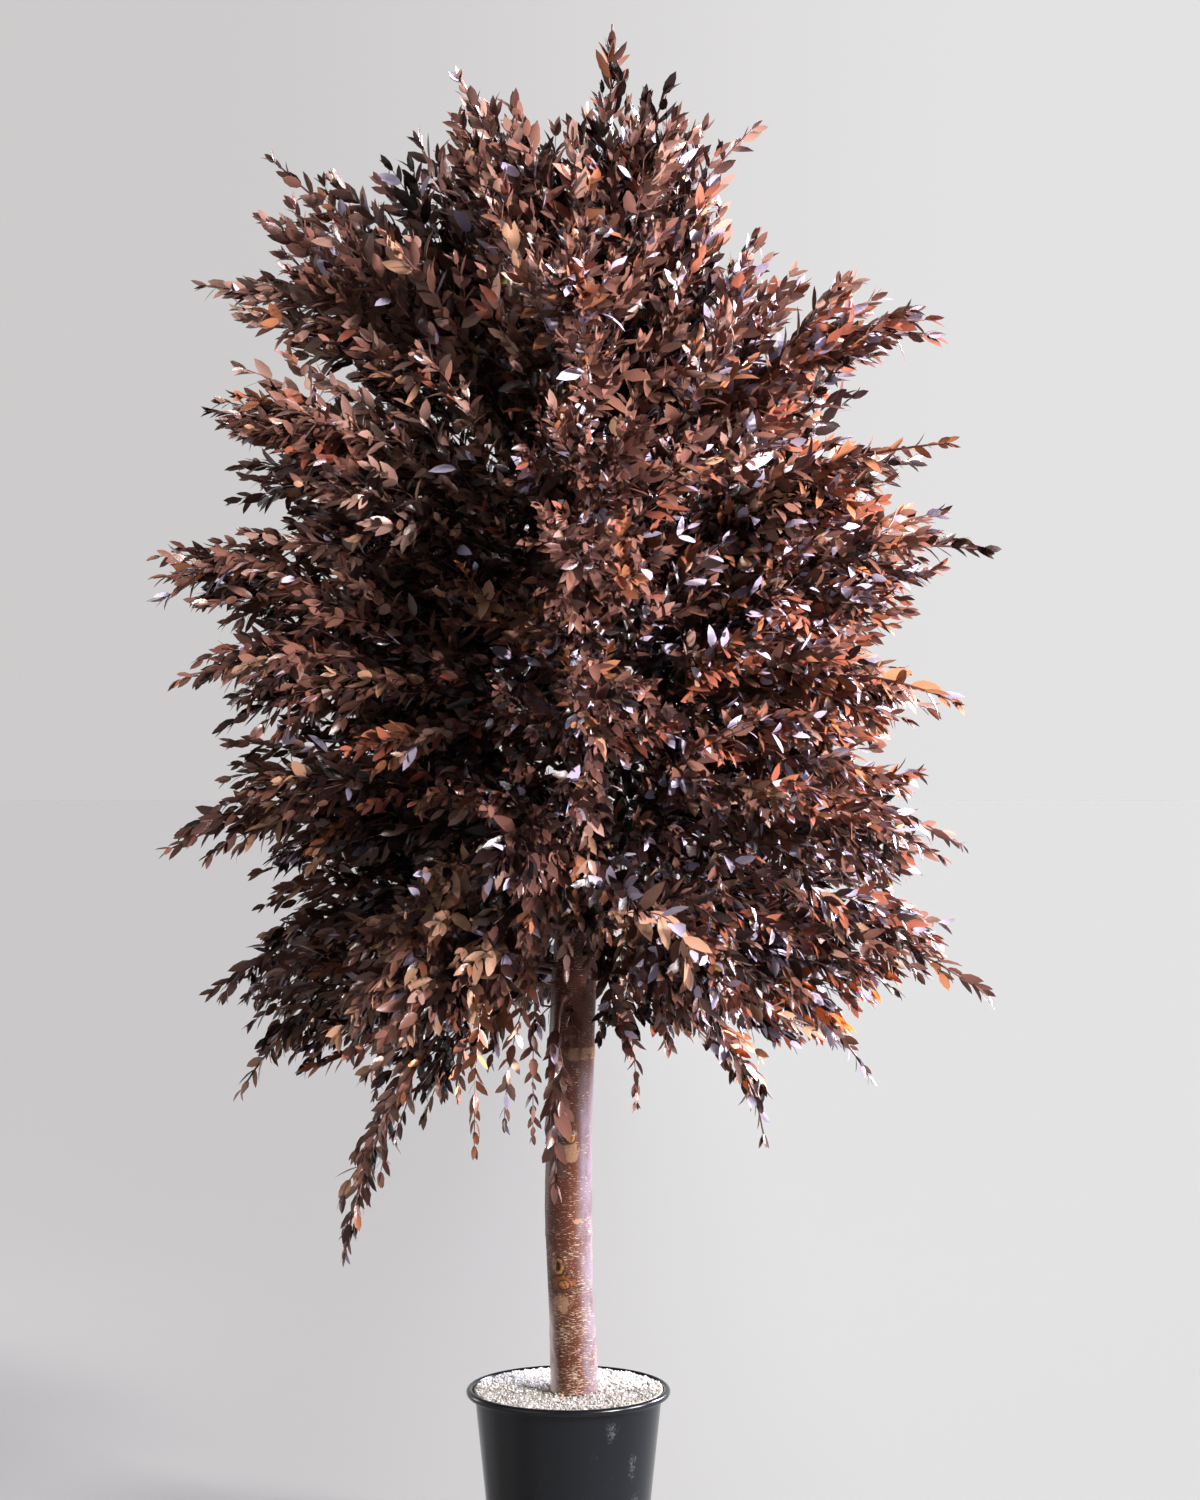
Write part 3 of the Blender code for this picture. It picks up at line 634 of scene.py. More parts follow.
# where the shares change, in this order: within limits on an axis, or more and more along a
# slope on it, the shares of some tints are multiplied, raised or set
broadPart = {"x": (-0.30, -0.04), "y": (-math.inf, -0.12), "z": (0.80, 1.06)}
frontPart = {"x": (-0.13, 0.13), "ySlope": (-0.18, -0.30)}
# painted shade and light: wherever the drifts raise or cut the darkest tint they paint shade, as
# in the front column's lower part, the crown's lower part and its left side; the upper left is
# painted lighter, with less of the dark tints and more dusty
drifts = (
    {"zSlope": (1.45, 1.85), "times": {"leafPaintedShade": 0.3}},
    {**frontPart, "add": {"leafPaintedShade": 0.04}},
    {**frontPart, "zSlope": (1.36, 1.28), "add": {"leafPaintedShade": 0.96}},
    {"x": (-0.20, math.inf), "zSlope": (1.12, 1.02), "add": {"leafPaintedShade": 0.35}},
    {"xSlope": (0, -0.1), "zSlope": (1.45, 1.60), "times": {"leafPaintedShade": 0.5, "leafUmber": 0.6}},
    {"xSlope": (-0.02, 0.28), "zSlope": (1.0, 1.4), "add": {"leafCopper": 0.14}},
    {"xSlope": (-0.02, 0.28), "add": {"leafRusset": 0.34}},
    {"xSlope": (0.28, -0.02), "zSlope": (1.35, 1.60), "add": {"leafDusty": 0.24}},
    {"zSlope": (1.05, 0.80), "add": {"leafTan": 0.14, "leafDusty": 0.10}},
    {"zSlope": (1.78, 1.93), "add": {"leafUmber": 1.00, "leafPaintedShade": 0.28}},
    {"x": (-math.inf, -0.12), "z": (-math.inf, 1.50), "add": {"leafPaintedShade": 0.12}},
    {"x": (-0.20, 0.20), "y": (-math.inf, -0.10), "z": (1.25, 1.60),
     "times": {"leafPaintedShade": 0.6, "leafUmber": 0.8}},
    {**frontPart, "times": {"leafDusty": 0.2}, "add": {"leafUmber": 0.20}},
    {**frontPart, "zSlope": (1.36, 1.28), "add": {"leafUmber": 1.00}},
    {"x": (-0.22, 0.12), "y": (-math.inf, -0.05), "z": (-math.inf, 1.10),
     "add": {"leafTan": 0.16, "leafCopper": 0.10}},
    {**broadPart, "times": {"leafPaintedShade": 0.5}, "add": {"leafTan": 0.14}},
    {"x": (-0.02, 0.06), "y": (-math.inf, -0.12), "z": (1.12, 1.32), "add": {"leafCopper": 0.45}},
    {"x": (-0.12, 0.12), "z": (-math.inf, 0.78),
     "set": {**sprigs["tints"]["falling"], "leafPaintedShade": 0.04}},
    # painted light: a sunlit patch low on the right, with glowing orange red leaves and pale
    # glints
    {"x": (0.22, 0.42), "z": (-math.inf, 0.86), "add": {"leafPaintedGlow": 0.80, "leafPaintedGlint": 0.25}},
)
# single leaves of these stand anywhere: their shares on the left and on the right; the pale
# lavender ones are painted glints, more of them on the lit right side
loneShares = {"leafPaintedGlint": (0.022, 0.095), "leafOlive": (0.0015, 0.0015)}
keepShare = 0.80  # of a twig's leaves have the twig's own tint
leafFinish = {"roughness": 0.25, "grain": 260.0, "depth": 0.0003,
              "sockets": {"Specular IOR Level": 0.36}}
twigFinish = {"colour": (0.085, 0.030, 0.022), "roughness": 0.5, "grain": 420, "depth": 0.0004}


def driftShare(drift, place):
    # 0 outside a drift's limits, and from 0 to 1 along its slopes
    share = 1.0
    for axis, value in zip("xyz", place):
        if axis in drift and not drift[axis][0] < value < drift[axis][1]:
            return 0.0
        if axis + "Slope" in drift:
            start, end = drift[axis + "Slope"]
            share *= min(max((value - start) / (end - start), 0), 1)
    return share


def tintWeights(place):
    # painted shade: the darkest tint's share grows toward the crown's inside
    weights = {**tintShares, "leafPaintedShade": np.interp(outwardShare(place), *paintedShadeShare)}
    for drift in drifts:
        share = driftShare(drift, place)
        for tint, factor in drift.get("times", {}).items():
            weights[tint] *= 1 + (factor - 1) * share
        for tint, more in drift.get("add", {}).items():
            weights[tint] = weights.get(tint, 0) + more * share
        if share > 0:
            weights.update(drift.get("set", {}))
    return weights


def dealTints(names, chances, x, count, dice):
    tint = dice.choice(len(names), p=chances)
    slots = np.where(dice.random(count) < keepShare, tint,
                     dice.choice(len(names), count, p=chances))
    for name, shares in loneShares.items():
        slots[dice.random(count) < np.interp(x, (-0.1, 0.3), shares)] = names.index(name)
    return slots


def pairsOn(long, first, twigSize, dice):
    # place, turn, slope and size of the leaves, in opposite pairs with a tuft at the tip
    place, turn, rows = first, dice.uniform(0, 180), []
    while place < long - leaf["tip"]:
        ahead = long - place
        size = twigSize * np.interp(ahead, *leaf["shrink"])
        slope = np.interp(ahead, *leaf["slopes"])
        rows += [(place, turn, slope, size), (place, turn + 180, slope, size)]
        turn += 90 + dice.normal(0, leaf["quarterSpread"])
        place += (leaf["spacing"] * twigSize ** leaf["sizeCrowd"]
                  * np.interp(ahead, *leaf["crowd"]))
    return np.array(rows + [(long, turn + 360 / leaf["tuft"] * k, leaf["tuftSlope"],
                             twigSize * leaf["tuftSize"]) for k in range(leaf["tuft"])]).T


def leavesOn(kind, twig, dice, bare, twigSize):
    # roots, directions, across vectors, lengths and widths of the leaves on one twig
    along = lengthsAlong(twig)
    long = along[-1]
    starts = {**leaf["starts"], "stem": max(long - leaf["onStem"], long * bare)}
    usual = (leaf["broadSize"] if driftShare(broadPart, twig[-1])
             else np.interp(twig[-1][2], *leaf["sizes"]))
    twigSize = twigSize or dice.uniform(*leaf["twigSizes"]) * usual
    places, turns, leans, sizes = pairsOn(long, starts.get(kind, sprigs["bare"]), twigSize, dice)
    n = len(places)
    roots = pointsAlong(twig, along, places)
    segment = np.clip(np.searchsorted(along, places) - 1, 0, len(twig) - 2)
    headings = unit(np.diff(twig, axis=0))[segment]
    turns = turns + dice.normal(0, leaf["turnSpread"], n)
    leans = leans + dice.normal(0, leaf["turnSpread"], n)
    directions = unit(stoodOff(headings, leans, turns) + np.array((0, 0, -leaf["droop"])))
    facing = (headings * leaf["alongTwig"]
              + unit(roots * (1, 1, 0)) * leaf["lightPull"] * leaf["light"]
              + np.array((0, 0, 1)) * leaf["lightPull"] * leaf["light"]
              + dice.normal(0, leaf["loose"], (n, 3)))
    normals = unit(facing - directions * (facing * directions).sum(1, keepdims=True))
    across = np.cross(directions, normals)
    sizes = sizes * (1 + dice.uniform(-1, 1, n) * leaf["spread"])
    widths = sizes * leaf["width"] * dice.uniform(*leaf["widthSizes"], n)
    return roots, directions, across, sizes * leaf["length"], widths


def leafMesh(name, rows, materials):
    # each leaf is two fans with two folded strips between them
    roots, directions, across, lengths, widths, curls, folds, slots = rows
    normals = np.cross(across, directions)
    points = []
    for along, wide in zip(leaf["rows"], leaf["widths"]):
        middle = (roots + directions * (lengths * along)[:, None]
                  - normals * (lengths * curls * along * along)[:, None])
        edge = across * (widths * wide / 2)[:, None]
        folded = normals * (widths * wide / 2 * folds)[:, None]
        points += [middle + edge + folded, middle, middle - edge + folded] if wide else [middle]
    points = np.stack(points, 1)
    faces = [(0, 1, 2), (0, 2, 3)]
    for row in (1, 4):
        faces += [(row, row + 3, row + 4), (row, row + 4, row + 1),
                  (row + 1, row + 4, row + 5), (row + 1, row + 5, row + 2)]
    faces += [(7, 10, 8), (8, 10, 9)]
    starts = (np.arange(len(roots)) * points.shape[1])[:, None, None]
    return newMesh(name, points.reshape(-1, 3), [(np.array(faces) + starts).reshape(-1, 3)],
                   materials, np.repeat(slots, len(faces)))


def tubeArrays(path, radii, sides, offset):
    # the points and triangles of a closed tube along path, which never heads offPath
    offPath = (0.31, 0.17, 0.93)
    tangents = unit(np.gradient(path, axis=0))
    side = unit(np.cross(tangents, offPath))
    up = np.cross(tangents, side)
    turns = turnsRound(sides)
    ring = (side[:, None] * np.cos(turns)[None, :, None]
            + up[:, None] * np.sin(turns)[None, :, None])
    points = (path[:, None] + ring * np.asarray(radii)[:, None, None]).reshape(-1, 3)
    faces, last = [], (len(path) - 1) * sides
    for i in range(len(path) - 1):
        for k in range(sides):
            a, b = i * sides + k, i * sides + (k + 1) % sides
            faces += [(a, b, b + sides), (a, b + sides, a + sides)]
    faces += [(0, k + 1, k) for k in range(1, sides - 1)]
    faces += [(last, last + k, last + k + 1) for k in range(1, sides - 1)]
    return points, np.array(faces) + offset


def tubesMesh(name, tubes, material):
    points, faces, offset = [], [], 0
    for path, radii, sides in tubes:
        somePoints, someFaces = tubeArrays(path, radii, sides, offset)
        points.append(somePoints)
        faces.append(someFaces)
        offset += len(somePoints)
    return newMesh(name, np.concatenate(points), [np.concatenate(faces)], [material])


def sunkIn(path, depth):
    # the path started a little earlier, inside what carries it
    return np.vstack([path[0] - unit(path[1] - path[0]) * depth, path])


def twigTube(spray, kind, twig):
    sides = wood["twigSides"]
    if kind == "stem":
        places = np.linspace(0, lengthsAlong(twig)[-1], len(twig))
        twig = sunkIn(twig[places >= boughOf(spray)], wood["sunk"])
        sides = wood["stemSides"]
    radii = wood["radii"].get(kind, wood["radii"]["sprig"])
    return twig, np.linspace(*radii, len(twig)), sides


def leafRows(spray, kind, twig, size, dice):
    # the leaves on one twig, without those too near the trunk or too far out
    rows = leavesOn(kind, twig, dice, ownValue(bareShares, spray, usualBare), size)
    count = len(rows[0])
    weights = sprigs["tints"].get(kind) or tintWeights(twig[len(twig) // 2])
    chances = np.array([weights.get(name, 0.0) for name in tints])
    slots = dealTints(list(tints), chances / chances.sum(), twig[-1][0], count, dice)
    curls = dice.normal(leaf["curl"], leaf["shapeSpread"], count)
    folds = dice.normal(leaf["fold"], leaf["shapeSpread"], count)
    tips = rows[0] + rows[1] * rows[3][:, None]
    keep = ((tips > cadLow - leaf["outside"]) & (tips < cadHigh + leaf["outside"])).all(1)
    for points in ((rows[0] + tips) / 2, tips):
        keep &= trunkClearance(points) > leaf["trunkClear"]
    return [part[keep] for part in (*rows, curls, folds, slots)]


def makeFoliage():
    leafMaterials = [grainedMaterial(name, tint, **leafFinish) for name, tint in tints.items()]
    twigMaterial = grainedMaterial("twigWood", **twigFinish)
    groups, total = {}, 0
    for own, spray in enumerate(sprays):
        group = groups.setdefault(spray["tier"], dict(nodes=[], leaves=[], tubes=[]))
        group["nodes"].append(spray["name"])
        dice = np.random.default_rng(5000 + own)
        grown = growSpray(own, spray)
        if spray["name"] == sprigs["carrier"]:
            grown += growSprigs()
        for kind, twig, size in grown:
            group["tubes"].append(twigTube(spray, kind, twig))
            group["leaves"].append(leafRows(spray, kind, twig, size, dice))
    for tier, group in groups.items():
        rows = [np.concatenate(parts) for parts in zip(*group["leaves"])]
        leaves = leafMesh(f"{tier}_leaves", rows, leafMaterials)
        twigs = tubesMesh(f"{tier}_twigs", group["tubes"], twigMaterial)
        for piece in (leaves, twigs):
            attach(piece, "root")
            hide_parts(*group["nodes"])
        total += len(rows[0])
        print(f"{tier}: {len(rows[0])} leaves, {len(leaves.data.polygons)} leaf faces,",
              len(twigs.data.polygons), "twig faces")
    print("leaves:", total)


makeFoliage()

# bark: the pole's skin, with ring scars, stubs of cut branches and fine level pores
bark = {"around": 64, "up": 640,
        # slow lumps: how many waves, their height, lobes round and pace up the pole
        "waves": 9, "waveHeight": 0.00034, "lobes": (1, 5), "pace": (4, 30),
        # ring scars: height, swell and half height, and how far they waver
        "rings": ((0.743, 0.0011, 0.012), (0.491, 0.0006, 0.005), (0.352, 0.0004, 0.006),
                  (0.940, 0.0008, 0.010), (1.130, 0.0007, 0.009)), "waver": 0.0016,
        # stubs: height, turn, half width, half height, stand-out, share that is an open slit
        "knots": ((0.626, -87, 0.0070, 0.0080, 0.0048, 0.0),
                  (0.452, -116, 0.0085, 0.0130, 0.0052, 1.0),
                  (0.427, -104, 0.0078, 0.0070, 0.0036, 0.5),
                  (0.800, 70, 0.0080, 0.0090, 0.0048, 0.5)),
        # in half sizes of the stub: its lip's ring, the swell around it, its wood and its slit
        "lip": (0.55, 0.40), "swell": (0.35, 1.6), "wood": 0.95, "slit": (0.26, 0.62)}


def barkRelief(heights, turns, radius):
    # how far the bark stands out at each point, and where its stubs and slits are
    dice = np.random.default_rng(77)
    out = np.zeros_like(heights)
    for wave in range(bark["waves"]):
        lobes, pace = dice.integers(*bark["lobes"]), dice.uniform(*bark["pace"])
        out = out + bark["waveHeight"] * np.sin(turns * lobes + heights * pace
                                                + dice.uniform(0, 2 * math.pi))
    for height, swell, half in bark["rings"]:
        ripple = bark["waver"] * np.sin(turns * 2 + height * 40)
        out = out + swell * np.exp(-((heights - height - ripple) / half) ** 2)
    marks = {"knot": np.zeros_like(heights), "slit": np.zeros_like(heights)}
    (lipAt, lipWide), (swell, swellWide) = bark["lip"], bark["swell"]
    for height, turn, wide, tall, stand, split in bark["knots"]:
        off = ((turns - math.radians(turn) + math.pi) % (2 * math.pi) - math.pi) * radius / wide
        above = (heights - height) / tall
        away = np.hypot(off, above)
        lip = stand * np.exp(-((away - lipAt) / lipWide) ** 2)
        slit = np.exp(-(off / bark["slit"][0]) ** 2 - (above / bark["slit"][1]) ** 4) * split
        out = out + lip * (1 - 0.9 * slit) + stand * swell * np.exp(-(away / swellWide) ** 2)
        marks["knot"] = np.maximum(marks["knot"], np.exp(-(away / bark["wood"]) ** 4))
        marks["slit"] = np.maximum(marks["slit"], slit)
    return out, marks


def makeBark():
    around, up = bark["around"], bark["up"]
    heights = np.linspace(trunk["base"], trunk["top"], up + 1)[:, None]
    heights, turns = np.broadcast_arrays(heights, turnsRound(around))
    centre, radius = trunkAt(heights)
    outward = np.stack([np.cos(turns), np.sin(turns), np.zeros_like(turns)], -1)
    out, marks = barkRelief(heights, turns, radius)
    points = (centre + outward * (radius + out)[..., None]).reshape(-1, 3)
    ends = [tuple(trunkCentre(trunk[end])) for end in ("base", "top")]
    quads, fans = ringFaces(up + 1, around, upward=True)
    piece = newMesh("trunk_bark", np.vstack([points, ends]), [quads, fans],
                    [makeBarkMaterial()])
    # the round map runs in metres: along the skin, and up
    mesh = piece.data
    corners = np.concatenate([quads.ravel(), fans.ravel()])
    u = np.concatenate([(turns * trunk["radius"]).ravel(), [0, 0]])[corners]
    v = np.concatenate([heights.ravel(), [trunk["base"], trunk["top"]]])[corners]
    full = 2 * math.pi * trunk["radius"]
    quadU = u[:quads.size].reshape(-1, 4)
    wraps = (np.ptp(quadU, axis=1) > full / 2)[:, None] & (quadU < full / 2)
    quadU[wraps] += full
    mesh.uv_layers.new(name="round").uv.foreach_set(
        "vector", np.stack([u, v], 1).astype(np.float32).ravel())
    for name, mark in marks.items():
        values = np.concatenate([mark.ravel(), [0, 0]]).astype(np.float32)
        mesh.attributes.new(name, "FLOAT", "POINT").data.foreach_set("value", values)
    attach(piece, "root")
    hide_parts("trunk")
    print("bark:", len(mesh.polygons), "faces")


def blot(nodes, where, ragged, centre, halves):
    # a patch with a ragged edge: turn and height of its middle, half sizes round and up
    middle = (trunk["radius"] * math.radians(centre[0]), centre[1], 0)
    away = nodes.awayFrom(where, middle, (*halves, 1))
    return nodes.ramp(nodes.plus(away, ragged), *barkPaint["blotEdge"])


def dashes(nodes, where, scale, move, least):
    # level dashes where a stretched noise passes the height least
    found = nodes.noise(nodes.mapped(where, (*scale, 1), (*move, 0)), 1.0, 1.5, 0.5)
    return nodes.ramp(nodes.maths("SUBTRACT", found, least), 0.0, 0.035)


def paintedSideLight(nodes, u, v, edges, heights):
    # a lit side of the pole, for painted light, between edges in shares of the way round: over
    # the map's seam the two edges add up, and elsewhere they overlap
    full = 2 * math.pi * trunk["radius"]
    first, second = (nodes.ramp(u, full * start, full * end) for start, end in edges)
    both = nodes.plus(first, second) if edges[0][0] > edges[1][0] else nodes.times(first, second)
    return nodes.times(both, nodes.ramp(v, *heights))


barkPaint = {
    "deep": (0.024, 0.007, 0.004), "red": (0.070, 0.017, 0.009), "warm": (0.140, 0.041, 0.019),
    "tan": (0.300, 0.165, 0.095), "cream": (0.560, 0.410, 0.300),
    "orange": (0.220, 0.070, 0.018), "gold": (0.360, 0.160, 0.036),
    "slit": (0.016, 0.006, 0.005),
    "roughness": (0.36, 0.62), "specular": 0.30, "depth": 0.0006,
    # painted light: a pale sheen painted down the right side and a pale wash low on the left,
    # where the light falls: colour, edges and heights
    "paintedLitSides": (((0.185, 0.150, 0.185), ((0.785, 0.865), (0.16, 0.06)), (0.76, 0.66)),
               ((0.850, 0.720, 0.760), ((0.36, 0.42), (0.655, 0.56)), (0.43, 0.36))),
    # tan patches: turn and height, half width and half height
    "patches": (((268, 0.780), (0.0085, 0.018)), ((275, 0.606), (0.0110, 0.016)),
                ((243, 0.402), (0.0130, 0.014)), ((292, 0.512), (0.0080, 0.004)),
                ((60, 0.690), (0.0120, 0.020)),
                ((120, 0.520), (0.0100, 0.016)), ((20, 0.960), (0.0110, 0.022))),
    "blotEdge": (1.08, 0.82),
    "rings": ((0.731, 0.748), (1.118, 1.134)), "ringSoft": 0.0018,
    # scars of a lost limb, orange brown with a dark edge
    "scars": (((252, 0.4285), (0.0165, 0.0125)),), "scarEdge": 1.22,
}


def paintBark(nodes, where, u, v):
    # the skin: red brown, lighter at the foot, with painted light on its sides: a pale sheen on
    # the right and a pale wash low on the left
    paint = barkPaint
    slow = nodes.stretched(where, (30, 7, 1))
    base = nodes.mix(nodes.ramp(slow, 0.30, 0.66), paint["deep"], paint["red"])
    fine = nodes.stretched(where, (170, 700, 1))
    base = nodes.mix(nodes.ramp(fine, 0.46, 0.72, 0.0, 0.65), base, paint["warm"])
    base = nodes.mix(nodes.ramp(v, 0.95, 0.45, 0.0, 0.42), base, paint["warm"])
    cloud = nodes.stretched(where, (60, 26, 1), (3, 1, 0), 5)
    patchy = nodes.ramp(cloud, 0.30, 0.62, 0.35, 0.90)
    # painted light: the pale sheen on the right and the pale wash low on the left go into the
    # colour here
    for colour, edges, heights in paint["paintedLitSides"]:
        litSide = paintedSideLight(nodes, u, v, edges, heights)
        base = nodes.mix(nodes.times(litSide, patchy), base, colour)
    return base, fine, cloud


def paintPatches(nodes, where, v, ragged, cloud, base):
    # ring scars and tan patches
    paint, soft, patch = barkPaint, barkPaint["ringSoft"], None
    wavy = nodes.plus(v, nodes.times(ragged, 0.0016))
    for low, high in paint["rings"]:
        band = nodes.times(nodes.ramp(wavy, low - soft, low + soft),
                           nodes.ramp(wavy, high - soft, high + soft, 1.0, 0.0))
        ring = nodes.times(band, nodes.ramp(cloud, 0.36, 0.52, 0.15, 0.85))
        patch = nodes.larger(patch, ring) if patch else ring
    for centre, halves in paint["patches"]:
        patch = nodes.larger(patch, blot(nodes, where, ragged, centre, halves))
    return nodes.mix(nodes.times(patch, 0.85), base, paint["tan"]), patch


def paintPores(nodes, where, u, v, base):
    # pores: more of them toward the foot and in drifts
    sway = nodes.times(nodes.stretched(where, (70, 70, 1), (5, 7, 0), 2), 0.007)
    swayed = nodes.add("CombineXYZ", None, i0=u, i1=nodes.plus(v, sway))
    drift = nodes.stretched(where, (34, 48, 1), (2, 9, 0), 2)
    least = nodes.plus(nodes.ramp(v, 0.28, 0.62, 0.560, 0.632),
                       nodes.ramp(drift, 0.35, 0.65, 0.055, -0.035))
    long = dashes(nodes, swayed, (120, 760), (0.3, 0.7), least)
    short = dashes(nodes, swayed, (230, 1250), (4.1, 2.6), nodes.plus(least, 0.03))
    pore = nodes.larger(long, nodes.times(short, 0.7))
    return nodes.mix(nodes.times(pore, 0.70), base, barkPaint["cream"]), pore


def paintStubs(nodes, where, ragged, base):
    # scars and cut stubs: orange wood, dark edges and slits
    paint = barkPaint
    fibre = nodes.stretched(where, (420, 150, 1), detail=3)
    for centre, halves in paint["scars"]:
        edge = blot(nodes, where, ragged, centre, [half * paint["scarEdge"] for half in halves])
        base = nodes.mix(nodes.times(edge, 0.85), base, paint["slit"])
        bared = nodes.mix(nodes.ramp(fibre, 0.42, 0.60), paint["orange"], paint["warm"])
        base = nodes.mix(blot(nodes, where, ragged, centre, halves), base, bared)
    knot = nodes.add("Attribute", {"attribute_name": "knot"}).outputs["Fac"]
    stub = nodes.mix(nodes.ramp(fibre, 0.36, 0.62), paint["warm"], paint["gold"])
    base = nodes.mix(nodes.ramp(knot, 0.10, 0.30), base, paint["slit"])
    base = nodes.mix(nodes.ramp(knot, 0.30, 0.75), base, stub)
    slit = nodes.add("Attribute", {"attribute_name": "slit"}).outputs["Fac"]
    return nodes.mix(nodes.ramp(slit, 0.25, 0.60), base, paint["slit"])


def makeBarkMaterial():
    material = newMaterial("poleBark", barkPaint["red"], 0.40,
                           {"Specular IOR Level": barkPaint["specular"]})
    nodes = Nodes(material)
    where = nodes.add("UVMap", {"uv_map": "round"}).outputs[0]
    split = nodes.add("SeparateXYZ", None, i0=where)
    u, v = split.outputs[0], split.outputs[1]
    ragged = nodes.times(nodes.maths("SUBTRACT", nodes.stretched(
        where, (150, 150, 1), (9, 4, 0)), 0.5), 2.4)
    base, fine, cloud = paintBark(nodes, where, u, v)
    base, patch = paintPatches(nodes, where, v, ragged, cloud, base)
    base, pore = paintPores(nodes, where, u, v, base)
    base = paintStubs(nodes, where, ragged, base)
    nodes.paint(base, nodes.ramp(nodes.larger(pore, patch), 0.0, 1.0, *barkPaint["roughness"]))
    nodes.bump(nodes.plus(pore, nodes.times(fine, 0.5)), barkPaint["depth"])
    return material


makeBark()


# boughs: the limbs that carry the upper sprays clear of the trunk, in the trunk's bark
bough = {"dark": (0.11, 0.038, 0.028), "light": (0.24, 0.10, 0.07), "roughness": 0.42,
         "fine": 200, "points": 30, "sides": 16, "sunk": 0.004, "lump": 0.05, "pace": 1.3}


def makeBoughs():
    material = newMaterial("boughBark", bough["dark"], bough["roughness"])
    nodes = Nodes(material)
    where = nodes.place()
    slow = nodes.ramp(nodes.noise(where, 60, 4), 0.4, 0.65)
    nodes.paint(nodes.mix(slow, bough["dark"], bough["light"]))
    nodes.bump(nodes.noise(where, 500, 3), 0.0005)
    tubes = []
    dice = np.random.default_rng(91)
    for own, spray in enumerate(sprays):
        if boughOf(spray) == 0:
            continue
        path, length = resample(allPaths[own], bough["fine"])
        path = path[np.linspace(0, length, bough["fine"]) <= boughOf(spray)]
        path = sunkIn(resample(path, bough["points"])[0], bough["sunk"])
        waves = np.sin(np.arange(len(path)) * bough["pace"] + dice.uniform(0, 6))
        radii = np.linspace(*sprayRule["boughRadii"], len(path)) * (1 + bough["lump"] * waves)
        tubes.append((path, radii, bough["sides"]))
    piece = tubesMesh("upper_boughs", tubes, material)
    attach(piece, "root")
    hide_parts(*(f"upper_bough_{k + 1}" for k in range(len(tubes))))
    print("boughs:", len(tubes))


makeBoughs()

# pot: a turned bucket with a rolled lip
pot = {"height": 0.280, "base": 0.100, "top": 0.1292, "rim": 0.140, "wall": 0.003,
       "lip": 0.0104, "lipWidth": 0.0094, "groove": 0.0008, "foot": 0.0025,
       "around": 144, "lipSteps": 16, "sideSteps": 40}
potFinish = {"black": (0.005, 0.006, 0.008), "worn": (0.30, 0.31, 0.33), "specular": 0.28,
             "depth": 0.00008,
             # pale scrapes on its side: turn, height, half width and half height
             "scrapes": ((298, 0.246, 0.011, 0.018), (316, 0.192, 0.009, 0.024),
                         (322, 0.140, 0.010, 0.016)),
             "ragged": 3.6, "scrapeEdge": (2.7, 1.9)}


def potOuter(height):
    return pot["base"] + (pot["top"] - pot["base"]) * height / pot["height"]


def potInner(height):
    return potOuter(height) - pot["wall"]


def turnedMesh(name, profile, around, materials):
    # profile runs from the axis to the axis, down the outside
    profile = np.array(profile)
    ring, turns = profile[1:-1], turnsRound(around)
    points = np.stack([ring[:, :1] * np.cos(turns), ring[:, :1] * np.sin(turns),
                       np.repeat(ring[:, 1:], around, 1)], -1).reshape(-1, 3)
    ends = [(0, 0, profile[0, 1]), (0, 0, profile[-1, 1])]
    return newMesh(name, np.vstack([points, ends]), ringFaces(len(ring), around), materials)


def makePotMaterial():
    material = newMaterial("glossBlack", potFinish["black"], 0.2,
                           {"Specular IOR Level": potFinish["specular"]})
    nodes = Nodes(material)
    where = nodes.place()
    cloud = nodes.stretched(where, (6, 6, 3))
    # faint upright rubs and specks
    rub = nodes.stretched(where, (150, 150, 22), (2, 3, 1), 3)
    scuff = nodes.times(nodes.ramp(rub, 0.66, 0.74), nodes.ramp(cloud, 0.52, 0.62))
    speck = nodes.noise(nodes.mapped(where, (1, 1, 1), (4, 1, 2)), 420, 2)
    marks = nodes.larger(scuff, nodes.ramp(speck, 0.73, 0.78, 0.0, 0.6))
    ragged = nodes.times(nodes.noise(where, 150, 6, 0.8), potFinish["ragged"])
    broken = nodes.ramp(nodes.noise(where, 420, 4, 0.8), 0.44, 0.58, 0.0, 0.75)
    for turn, height, wide, tall in potFinish["scrapes"]:
        spot = radial(turn) * potOuter(height)
        away = nodes.awayFrom(where, (spot.x, spot.y, height), (wide, wide, tall))
        worn = nodes.ramp(nodes.plus(away, ragged), *potFinish["scrapeEdge"])
        marks = nodes.larger(marks, nodes.times(broken, worn))
    base = nodes.mix(nodes.times(marks, 0.30), potFinish["black"], potFinish["worn"])
    nodes.paint(base, nodes.plus(nodes.ramp(cloud, 0.3, 0.7, 0.16, 0.26),
                                 nodes.times(marks, 0.3)))
    nodes.bump(nodes.noise(where, 130, 6, 0.7), potFinish["depth"])
    return material


